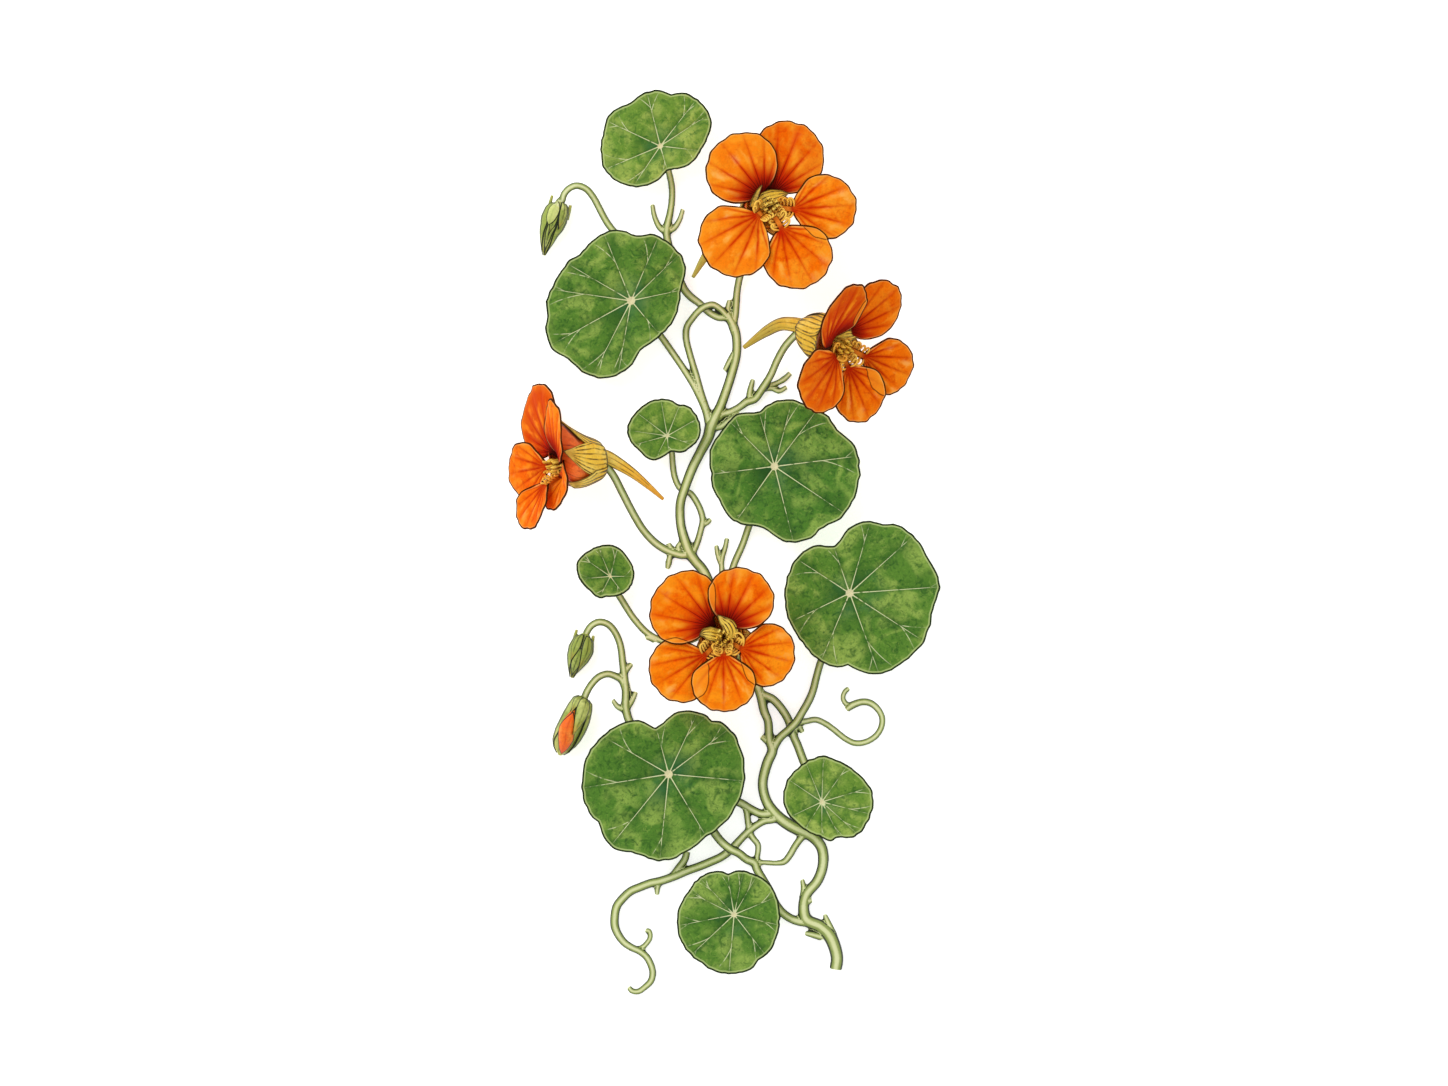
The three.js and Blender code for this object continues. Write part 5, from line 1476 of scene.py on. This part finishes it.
def bud_sepal(route, turn, start, end, wide, lift, lens=False):
    """A pointed blade that hugs a bud, with its midrib. A lens is pointed at both ends."""
    steps = rings(route, 2 * BUD_DETAIL)

    def surface(u, v):
        centre, thick, across, lifted, _ = steps[round((start + (end - start) * v) * (len(steps) - 1))]
        side = 2 * u - 1
        arc = math.sin(math.pi * v)
        half = math.radians(wide) * (max(0, arc) ** 0.6 if lens else (1 - v ** 2.6) * (0.7 + 0.3 * arc))
        angle = math.radians(turn) + half * side
        radius = thick / 2 + lift * (1 - 0.5 * side ** 2)
        place = centre + radius * (math.cos(angle) * across + math.sin(angle) * lifted)
        return place, (abs(side) / 2, 2 * half * radius, v)

    bm = blade_grid(*BUD_SEPAL_GRID, surface, RIB_MEASURES)
    rim_distance(bm)
    steepness(bm)
    return bm


bud_skin = rib_finish("bud_skin", "ccd07c", "9aa84a", "5c6e28", "333e14", "b9b64e", 0.6, 1.0)
bud_green = rib_finish("bud_blade", "d6da84", "9aaa48", "5e722a", "333e14", "c4a844", 0.6, 1.0)
bud_blade = rimmed(bud_green, "222c0c", 1.0, BUD_OUTLINE)
bud_petal = rib_finish("bud_petal", "ff9a3a", "f66a10", "d84400", "8a2606", "f8702c", 0.7, 1.0)
bud_orange = rib_finish("bud_lens", "ffa040", "f86c0e", "da4600", "8a2606", "f05a14", 0.6, 1.0, 0.2)
bud_lens = rimmed(bud_orange, "3c1408", 1.0, BUD_OUTLINE)
# the cap is a real short sepal on bud 1, painted pale as the highlight on the bud's top
bud_pale = rib_finish("bud_cap", "f0f0bc", "ccd47c", "9cab4a", "5c6a2c", "bcc66c", 0.6, 1.0, 0.0)
bud_cap = rimmed(bud_pale, "222c0c", 1.0, BUD_OUTLINE)
for name, route in BUDS.items():
    body = tube(route, BUD_SIDES, BUD_DETAIL, BUD_RIBS, BUD_RIDGE)
    parts = [to_object(body, name + "_body", [bud_skin])]
    for sizes in BUD_SEPALS[name]:
        sepal = to_object(bud_sepal(route, *sizes), "sepal", [bud_blade, bud_blade])
        parts.append(thickened(sepal, SEPAL_BLADE))
    if name == "bud_1":
        bm = bud_sepal(route, *BUD_1_CAP, True)
        parts.append(thickened(to_object(bm, "cap", [bud_cap, bud_cap]), SEPAL_BLADE))
    for tip in SEPAL_TIPS.get(name, []):
        parts.append(to_object(tube(tip, TIP_SIDES, BUD_DETAIL, TIP_RIBS), "tip", [bud_skin]))
    piece = joined(parts, name + "_ribbed")
    stands_for(piece, name)
rolled = tube(BUD_3_PETALS, BUD_SIDES, BUD_DETAIL, ROLLED_RIBS, ROLLED_RIDGE)
core = to_object(rolled, "core", [bud_petal])
lens = to_object(bud_sepal(BUD_3_PETALS, *BUD_3_LENS, True), "lens", [bud_lens, bud_lens])
piece = joined([core, thickened(lens, SEPAL_BLADE)], "bud_3_core")
stands_for(piece, "bud_3_petals")
print("buds:", len(BUDS))

# %% [markdown]
# ## The vine
#
# All the stems, stalks and tendrils are one growth. Each route becomes a curve with its own
# thickness, all the curves are turned into one mesh, and a remesh melts them together, so that the
# forks swell as they do on a living stem. Tubes that only cross would show a hard seam there.

# %% Routes of the vine
# x, y and thickness where a stem lies on the table; a fourth number lifts its middle
STEMS = {
    "main_stem": [(40.5, -153.5, 4.3), (41, -149, 4.3), (38.5, -141.5, 4.7), (35, -138, 4.5),
        (30, -135.5, 4.3), (29, -131, 3.8), (30, -126.5, 3.6), (34, -121.5, 3.6), (36, -115.5, 3.6),
        (35.4, -109.5, 3.8), (32, -105.5, 4), (27.6, -103.3, 4.3), (24, -101.5, 4.3), (20, -98.6, 4),
        (16, -93.6, 3.6), (14.4, -88.5, 3.4), (14.4, -85, 3.4), (16, -79, 3.6), (17.8, -74.5, 3.6),
        (16.7, -71, 3.1), (16.2, -64, 2.9), (14.8, -60.5, 3.1), (13.5, -54.7, 3.2), (10.4, -46.5, 3.2),
        (2.5, -35, 3.4), (-6.8, -10.5, 3.6), (-10, -6.5, 3.6), (-12.2, -3.2, 4), (-13.8, 1, 3.6),
        (-15.1, 6, 3.2), (-15.5, 11, 3.2), (-15.2, 15, 3.2, 3), (-14, 19, 3.2, 3.9), (-11, 27, 3.4, 2),
        (-8.3, 32.4, 3.4), (-5.2, 38.5, 4), (-4.3, 42, 4.3), (-1, 49, 3.4), (1.4, 55.5, 3.2),
        (3.2, 61.2, 3.2), (4.7, 67, 3.1), (5, 71.6, 3.1), (4.3, 76.7, 3.2), (1.8, 82, 3.2)],
    "upper_stem": [(4.3, 75.6, 2.9), (1.8, 81, 2.7), (-1.6, 81.2, 2.5), (-5, 83, 2.5),
        (-8.7, 86.4, 2.5), (-11.6, 88.6, 2.7), (-14, 91.4, 2.7), (-17.3, 100, 2.7), (-20.2, 110.2, 2.6),
        (-20.2, 113.4, 2.7), (-19, 119, 2.2), (-18.4, 123.5, 2), (-18.4, 128, 2),
        (-19.5, 133.5, 2, 2.5), (-21.2, 138.5, 2, 7)],
    "twining_shoot": [(-4.3, 42.5, 2.5), (-6.1, 48.6, 2.3), (-8, 54.4, 2.2), (-9.7, 60.5, 2.2),
        (-11.9, 67.7, 2.2), (-13.3, 73.8, 2.2), (-13, 77.8, 2.2), (-11.2, 80.6, 2.2, 2),
        (-8.7, 83.5, 2.2, 3.6), (-6.5, 85, 2.2, 4.2), (-3.7, 85.7, 2.2, 3.6), (-1, 84.2, 2.2, 2.6),
        (1.4, 81.7, 2.2, 2)],
    "second_shoot": [(-3, 41.5, 2.2), (-1, 41.8, 2.2), (1.5, 43.5, 2.2), (5.5, 46.5, 2)],
    "sprig_stem": [(-0.4, -17, 1.8), (-0.4, -11.5, 1.6), (-0.4, -6, 1.4), (0.7, -2, 1.3),
        (1.5, 1.8, 1.1)],
    "tendril_1": [(25, -66, 1.8), (26, -65.2, 1.8, 2.4), (30.6, -64, 1.8, 1.2), (33.5, -63.6, 1.8),
        (37, -65.1, 1.8), (40.2, -67.4, 1.8), (44, -70.4, 1.8), (47.5, -72, 1.8), (51.4, -71.6, 1.8),
        (55, -69.4, 1.8), (57, -66.2, 1.8), (57.2, -62.6, 1.8), (55.4, -59.4, 2), (52.8, -57.5, 2.2),
        (50, -57.2, 2.2), (46.5, -58.4, 2.5), (44.4, -60, 1.8)],
    "tendril_1_hook": [(47, -58.6, 1.6), (44.4, -58, 1.3), (43.2, -56, 1.2), (43.8, -53.6, 1.2),
        (45.4, -52.2, 1.1)],
    "budding_stem": [(18.4, -97, 3.2), (14, -97.5, 2.9), (10.4, -96, 2.9), (6.8, -93.8, 2.9),
        (5, -93, 2.9), (-0.4, -90.6, 2.9), (-6, -85.4, 2.9), (-12, -77, 2.9), (-20, -71.6, 2.9),
        (-27.5, -69.5, 2.9), (-32.6, -66, 2.9), (-34.9, -60, 2.9), (-35, -53, 2.7), (-36, -44, 2.5),
        (-37, -36.6, 2.3, 1.6), (-38.9, -32, 2.3, 3), (-41.4, -29.2, 2.3, 4.6),
        (-44.6, -28.4, 2.3, 5.6), (-47.4, -29.8, 2.2, 5.4), (-48.8, -31.8, 2.2, 5.2)],
    "bud_3_stalk": [(-35, -53, 2.5), (-36.4, -49.4, 2.5), (-38.5, -48, 2.3, 2),
        (-41.4, -47.1, 2.3, 3.5), (-44.6, -48.1, 2.3, 5.2), (-47.2, -50.7, 2.3, 6.4),
        (-49, -53.6, 2.3, 7), (-49.8, -55.6, 2.3, 7)],
    "bud_1_stalk": [(-18.4, 101, 2.2), (-24.5, 104.8, 2.2), (-31.4, 107.6, 2.2), (-37, 110.2, 2.2),
        (-40, 113, 2.2), (-42.5, 116.6, 2.2), (-44.6, 120.6, 2.2, 1.8), (-46.8, 124.6, 2.2, 3.2),
        (-49.3, 127.4, 2.2, 4.6), (-52.6, 128.5, 2.2, 5.6), (-55.4, 127.4, 2.2, 5.6),
        (-57.2, 125.3, 2.2, 5.6), (-58, 122.8, 2.2, 5.6)],
    "tendril_2": [(19, -98.5, 2.9), (18, -99.5, 2.5), (15, -100, 2.5), (12.2, -101.5, 2.5),
        (8.6, -104.3, 2.5), (6, -107, 2.7), (3, -110.2, 2.9), (-0.7, -113, 2.9), (-4.4, -114.7, 2.9),
        (-8.3, -116.3, 2.9), (-13, -118, 2.9), (-17.4, -119.9, 2.9), (-22.7, -121.7, 2.9),
        (-26, -122.4, 2.9), (-30, -123.9, 2.9), (-33.2, -125.3, 2.9), (-36, -127.8, 2.9),
        (-38.2, -130.7, 2.9), (-39, -134.6, 2.9), (-38.9, -138, 2.9), (-37.6, -141.1, 2.7),
        (-35.3, -144, 2.5), (-32.4, -145.8, 2.3), (-30, -146.9, 2.3), (-27.5, -149, 2.3),
        (-25.9, -152, 2.3), (-25.3, -154.8, 2.2), (-26, -157.7, 2.1), (-28.1, -159.8, 1.8),
        (-30.4, -161.4, 1.6), (-32.8, -161.2, 1.4), (-34, -159.8, 1.3)],
    "tendril_2_curl": [(-33.5, -145.8, 1.6), (-31.4, -146.2, 1.4), (-29, -145.5, 1.4),
        (-27.4, -144, 1.3), (-26.2, -141.9, 1.3), (-26.6, -139.7, 1.3), (-28, -139.4, 1.2)],
    "shoot_between": [(8, -94.5, 2.2), (8.5, -96.5, 2.2), (9, -100.4, 2), (9.5, -103.9, 2),
        (10.8, -106.2, 2), (12.6, -108.7, 1.8), (12.2, -113.4, 1.6), (11.9, -116, 1.6)],
    "shoot_right": [(30, -104, 2.5), (28.6, -105.5, 2.5), (26, -109, 2.3), (23.8, -112.7, 2.2),
        (22, -114.7, 2), (19.4, -115.2, 1.3), (15, -115, 1.2), (12, -115, 1.2)],
    "shoot_left": [(-13, -111, 2.3), (-13.7, -113.8, 2.5), (-15.5, -116.3, 2.5), (-18, -119.5, 2.2)],
}
LEAF_STALKS = {
    "leaf_1": [(17.4, -126.5, 2.5), (14, -128.5, 2.5), (10.4, -130.7, 2.5, 2.6), (7, -132.5, 2.5, 5.4)],
    "leaf_2": [(31.3, -136, 3.6), (29, -136.4, 3.1), (25, -135.4, 2.9), (21.6, -133.2, 2.9),
        (19, -130, 2.9), (17, -125.6, 2.9), (14.3, -121, 2.9), (12.2, -117.4, 2.9), (11.4, -115.2, 2.9),
        (8.5, -113.8, 2.9, 2), (5.7, -111.6, 2.9, 3.6), (2.9, -110.2, 2.9, 4.4), (0, -108, 2.9, 3.6),
        (-2.5, -105.1, 2.9, 2), (-6, -99.6, 2.9), (-11.2, -93.2, 2.9, 2.6), (-15.8, -87.2, 2.9, 6)],
    "leaf_3": [(12.6, -52.2, 2.5), (13.7, -54, 2.7), (17.9, -56.2, 2.9), (20.9, -59.4, 2.9),
        (23.4, -63.4, 2.9), (24.5, -66.6, 2.9), (25.6, -70, 2.9), (26.8, -72.7, 2.9),
        (28.3, -76.7, 2.9), (30.6, -82.5, 2.9, 2.2), (33, -88.4, 2.7, 5.2)],
    "leaf_4": [(16.9, -77, 3.2), (17.8, -74.5, 3.2), (20.2, -70.4, 2.9), (23.8, -67, 2.7, 3.6),
        (26, -64.8, 2.7, 4.7), (28.3, -61.2, 2.7, 3), (31, -56.5, 2.7), (32.4, -53, 2.6),
        (33.8, -47.5, 2.5), (35.3, -42.5, 2.5, 1.6), (38.5, -35, 2.5, 2.5), (42.5, -24.8, 2.5, 5.8)],
    "leaf_5": [(1, -30.6, 2.5), (-3, -30.6, 2.3), (-12, -35, 2.2), (-20.9, -35.3, 2.2),
        (-26.3, -33.1, 2.2), (-31.7, -27.7, 2.2), (-36.4, -20.5, 2.2, 2.2), (-39.2, -15.8, 2.2, 5)],
    "leaf_6": [(-0.4, -23.4, 2.5), (1.8, -15, 2.3), (4, -7.6, 2.3), (7.1, -0.4, 2.3),
        (9.7, 7, 2.3, 1.6), (13.3, 15.5, 2.3, 2.6), (16.6, 22.7, 2.3, 5.4)],
    "leaf_7": [(-11.5, -4.7, 2.2), (-10.2, -2.2, 2), (-9, 1, 2), (-7.9, 5, 2), (-7.3, 8.3, 2),
        (-8, 11.5, 2), (-9.7, 15.1, 2), (-11.9, 18, 1.9), (-14, 18.7, 1.9), (-15.8, 20.2, 1.9),
        (-17.4, 23.8, 1.9), (-18.1, 28.4, 1.9), (-18.4, 32.4, 1.9, 2.2), (-19.4, 35.6, 1.9, 5)],
    "leaf_8": [(-5, 42.8, 2.9), (-6.1, 47.2, 2.5), (-7.9, 51.5, 2.3), (-10.4, 56.5, 2.2),
        (-13.7, 61.9, 2.2), (-17.6, 67.7, 2.2), (-21.6, 73.4, 2.2), (-26.3, 79.6, 2.2, 2.5),
        (-30, 84.2, 2.2, 6)],
    "leaf_9": [(-19.5, 133.5, 2, 2.5), (-21.2, 138.5, 2, 7)],
}
FLOWER_STALKS = {
    "flower_1": [(4, 79.6, 2.5), (4.5, 83, 2.5), (5, 90, 2.4), (5.8, 94.7, 2.4, 3), (7.6, 101, 2.4, 7),
        (10.4, 108, 2.3, 11), (12.4, 114, 2.3, 14)],
    "flower_2": [(-4.3, 40.7, 2.9), (-0.7, 46, 2.7), (2.8, 47.2, 2.5), (6.1, 49, 2.5), (8.5, 50.8, 2.9),
        (11.4, 51.8, 2.7), (14.3, 55.8, 2.7, 2.5), (17.2, 60.5, 2.5, 4.5), (19.4, 65.5, 2.5, 7),
        (22.3, 70.6, 2.5, 10)],
    "flower_3": [(-12.2, -3.2, 2.9), (-14, -4.3, 2.9), (-18.8, -3.2, 2.7), (-23.8, -0.4, 2.7),
        (-28.4, 4.3, 2.6, 3), (-32.5, 11, 2.6, 7), (-36.1, 18, 2.6, 12), (-39.7, 24.8, 2.6, 16)],
    "flower_4": [(7, -41.5, 2.8), (4.5, -38, 2.6, 3), (2, -35.5, 2.6, 8), (-0.5, -34.5, 2.6, 12)],
}
TWIGS = {
    "base_bract_left": [(40, -141.5, 2.5), (38.2, -137.5, 2), (36.5, -133.6, 1)],
    "base_bract_right": [(35.6, -141.9, 2.5), (32.4, -141, 2), (29.5, -140.4, 1)],
    "bract_lower": [(28.5, -128, 2), (29, -124.5, 1.6), (28.5, -121, 0.9)],
    "nub_lower": [(30, -129.2, 2.2), (32, -128.5, 1.4)],
    "nub_middle": [(16.2, -71.6, 2.2), (13.7, -69.7, 1.3)],
    "sprout": [(25.6, -67, 2.2), (27.4, -66.3, 1.6, 1.6), (28.7, -68.2, 1.2, 1.6)],
    "bract_top_left": [(-20.2, 112.3, 2.2), (-22.3, 113, 1.8), (-24.5, 117, 1.4), (-25.5, 122, 0.9)],
    "bract_top_right": [(-20.2, 112.3, 2.2), (-18, 113, 1.8), (-15.8, 116, 1.4), (-14.4, 120.2, 0.9)],
    "bract_upper": [(4, 68, 2.2), (2.2, 65.2, 1.6), (0.5, 62, 0.9)],
    "bract_fork": [(2.2, 81.7, 2.3), (1.8, 84.2, 1.8), (2.3, 87.5, 0.9)],
    "bract_stalk_2": [(9.4, 50.8, 2.3), (9.7, 54.4, 2), (10.8, 59, 1.1)],
    "sprig_upper": [(15.5, 56.2, 1.8), (19.4, 57.6, 1.3), (22, 59, 1.8), (24.3, 61.2, 1.3)],
    "sprig_lower": [(14.4, 55.4, 1.8), (17.6, 55.6, 1.2), (20.2, 54.7, 1.4), (23, 56.2, 0.9)],
    "leaflet": [(-18.4, -2.9, 2.2), (-19.1, -4.7, 1.4), (-19.5, -6.9, 2.2), (-20, -9.4, 1)],
    "spike_left": [(-17.3, -3.6, 2.2), (-18.7, -1.8, 1.4), (-19.6, 0, 0.9)],
    "spike_right": [(-15.1, -4, 2.2), (-16.2, -1.5, 1.4), (-15.1, 0.4, 0.9)],
    "bract_bud_right": [(-35, -59.8, 2.2), (-33.1, -57.3, 1.8), (-31.3, -53.5, 1.1)],
    "bract_bud_left": [(-35.3, -59.8, 2.2), (-37.8, -59, 1.5), (-39.8, -56.4, 0.9)],
    "bract_bud_upper": [(-36.4, -47.9, 2.2), (-34.6, -45.4, 2), (-32.8, -43.4, 1.1)],
    "bract_bud_lower": [(-36, -47.9, 2.2), (-34.6, -50.8, 1.6), (-33.7, -54, 0.9)],
    "bract_left": [(-24.5, -34.9, 2.2), (-26.3, -34, 2.2), (-27.9, -33.9, 1.2)],
    "bract_fork_low": [(-7.2, 6.9, 1.8), (-5.8, 7.2, 1.3), (-4.3, 8.7, 0.9)],
    "bract_tendril": [(-23, -121.7, 2.2), (-23.6, -124.2, 1.6), (-23.8, -126.7, 0.9)],
    "sprig_side": [(-0.4, -8.3, 1.4), (-1.8, -4.7, 1.2), (-2.5, -0.7, 0.9)],
}
PRESSED_FLAT = 0.15
LEAF_SEAT = 0.7
LEAF_STALK = 2.3
CUP_STALK = 2.5
STEM_FULLER = 0.4
THIN_STEM = 2.4
THIN_FULLER = 0.3
BUD_STALK = 2.2
NODDING = {"bud_1_stalk": "bud_1", "budding_stem": "bud_2", "bud_3_stalk": "bud_3_calyx"}

# %% Melt the vine together
VINE_DETAIL = 7
VINE_VOXEL = 0.56
MELT_STEPS = 2


def fuller(thick):
    """The round, juicy stem's thickness over a plain one's; thin tendrils gain the most."""
    return thick + STEM_FULLER + THIN_FULLER * max(0, THIN_STEM - thick)


def vine_routes():
    """(route, clearance) of everything that belongs to the vine."""
    routes = [(STEMS["main_stem"], -PRESSED_FLAT)]
    for name, route in STEMS.items():
        if name != "main_stem":
            bud = [(x, y, BUD_STALK, z) for x, y, _, z in BUDS.get(NODDING.get(name), [])[:2]]
            routes.append((route + bud, LYING_CLEAR))
    for name, route in LEAF_STALKS.items():
        x, y, z = LEAVES[name]["centre"]
        end = [(x, y, LEAF_STALK, z - LEAF_SEAT - 1.4), (x, y, LEAF_STALK, z - LEAF_SEAT)]
        routes.append((route + end, LYING_CLEAR))
    for name, route in FLOWER_STALKS.items():
        bottom = flower_frame(FLOWERS[name]) @ Vector((*FLOWERS[name]["lean"], -CUP_DEPTH))
        routes.append((route + [(bottom.x, bottom.y, CUP_STALK, bottom.z)], LYING_CLEAR))
    routes += [(route, LYING_CLEAR) for route in TWIGS.values()]
    grown = []
    for route, clear in routes:
        grown.append(([(x, y, fuller(thick), *height) for x, y, thick, *height in route], clear))
    return grown


vine_stations = [stations(route, VINE_DETAIL, clear) for route, clear in vine_routes()]
vine_curve = bpy.data.curves.new("vine_curve", "CURVE")
vine_curve.dimensions = "3D"
vine_curve.bevel_depth = 1.0
vine_curve.bevel_resolution = 4
vine_curve.use_fill_caps = True
for found in vine_stations:
    spline = vine_curve.splines.new("POLY")
    spline.points.add(len(found) - 1)
    for point, (centre, thick, _) in zip(spline.points, found):
        point.co = (*(centre * MM), 1)
        point.radius = thick / 2 * MM
vine = bpy.data.objects.new("vine_melted", vine_curve)
scene.collection.objects.link(vine)
bpy.context.view_layer.update()
vine_mesh = bpy.data.meshes.new_from_object(vine.evaluated_get(bpy.context.evaluated_depsgraph_get()))
bpy.data.objects.remove(vine)
vine = bpy.data.objects.new("vine_melted", vine_mesh)
scene.collection.objects.link(vine)
melt = vine.modifiers.new("melt", "REMESH")
melt.mode = "VOXEL"
melt.voxel_size = VINE_VOXEL * MM
melt.use_smooth_shade = True
ease = vine.modifiers.new("ease", "SMOOTH")
ease.factor = 0.5
ease.iterations = MELT_STEPS
bpy.context.view_layer.update()
applied(vine)
print(vine.name, triangles(vine), "triangles")

# %% [markdown]
# Each point of the melted mesh then looks up the nearest stem centre, and keeps two measures: how far
# it lies to one side, and how high on the round. The stem's finish draws its fine lines, its painted
# highlight and its painted shade from them.

# %% Measures of the vine
UPRIGHT = 0.2
NEIGHBOURS = 5
centres = []
for found in vine_stations:
    for centre, thick, ahead in found:
        sideways = ahead.cross(UP)
        if sideways.length < UPRIGHT:
            sideways = Vector((1, 0, 0))
        centres.append((centre, thick / 2, sideways.normalized(), ahead))
tree = KDTree(len(centres))
for index, item in enumerate(centres):
    tree.insert(item[0], index)
tree.balance()

bm = bmesh.new()
bm.from_mesh(vine.data)
sideways_layer = bm.verts.layers.float.new("sideways")
lift_layer = bm.verts.layers.float.new("lift")
for vert in bm.verts:
    spot = vert.co / MM
    nearest = min(tree.find_n(spot, NEIGHBOURS), key=lambda hit: hit[2] - centres[hit[1]][1])
    centre, radius, sideways, ahead = centres[nearest[1]]
    away = spot - centre
    vert[sideways_layer] = away.dot(sideways) / radius
    vert[lift_layer] = away.dot(sideways.cross(ahead)) / radius
    if vert.co.z < 0:
        vert.co.z = 0
bm.to_mesh(vine.data)
bm.free()
print("stem centres:", len(centres))

# %% [markdown]
# The skin of a stem is painted pale where it faces up, as a highlight, and painted darker green on its
# flanks, as shade, with fine ribs lengthwise and a painted shade line to each side. A gradient would
# do for a straight rod. The measures from the nearest centre let the same skin follow every bend and
# fork.

# %% Material of the vine


def stem_finish(name, light, middle, deep, edge):
    """Finish of the stems: painted highlight on top, painted shade on the flanks, fine lines lengthwise."""
    material, tree = new_finish(name)
    sideways, lift = measure(tree, "sideways"), measure(tree, "lift")
    pigment = use(tree, wash, Light=colour(light), Middle=colour(middle), Deep=colour(deep), Contrast=0.6)
    around = calc(tree, "ARCTAN2", lift, sideways)
    ribs = calc(tree, "SINE", times(tree, around, 7.0))
    across = calc(tree, "ABSOLUTE", sideways)
    # painted shade: darker green on the flanks; painted highlight: pale along the top
    base = over(tree, between(tree, across, 0.25, 0.7), pigment["Color"], colour(deep))
    top = calc(tree, "SUBTRACT", 1.0, across)
    base = over(tree, between(tree, top, 0.45, 0.95, 0.0, 0.85), base, colour(light))
    fine = between(tree, ribs, 0.4, 0.95)
    uneven = between(tree, speckle(tree, 4, 3, 0.6), 0.3, 0.7, 0.1, 0.55)
    base = over(tree, times(tree, fine, uneven), base, colour(deep))
    # painted shade: a dark line along each side where the stem turns away
    base = over(tree, between(tree, across, 0.68, 0.76, 0.0, 0.97), base, colour(edge))
    end_finish(tree, base, pigment["Grain"], fine, rough=(0.45, 0.62),
               strength=0.25, depth=0.1, gloss=0.3)
    return material


vine.data.materials.clear()
vine.data.materials.append(stem_finish("stem_skin", "e6eab4", "b6c26e", "7e9044", "1a230a"))
stands_for(vine, "vine")
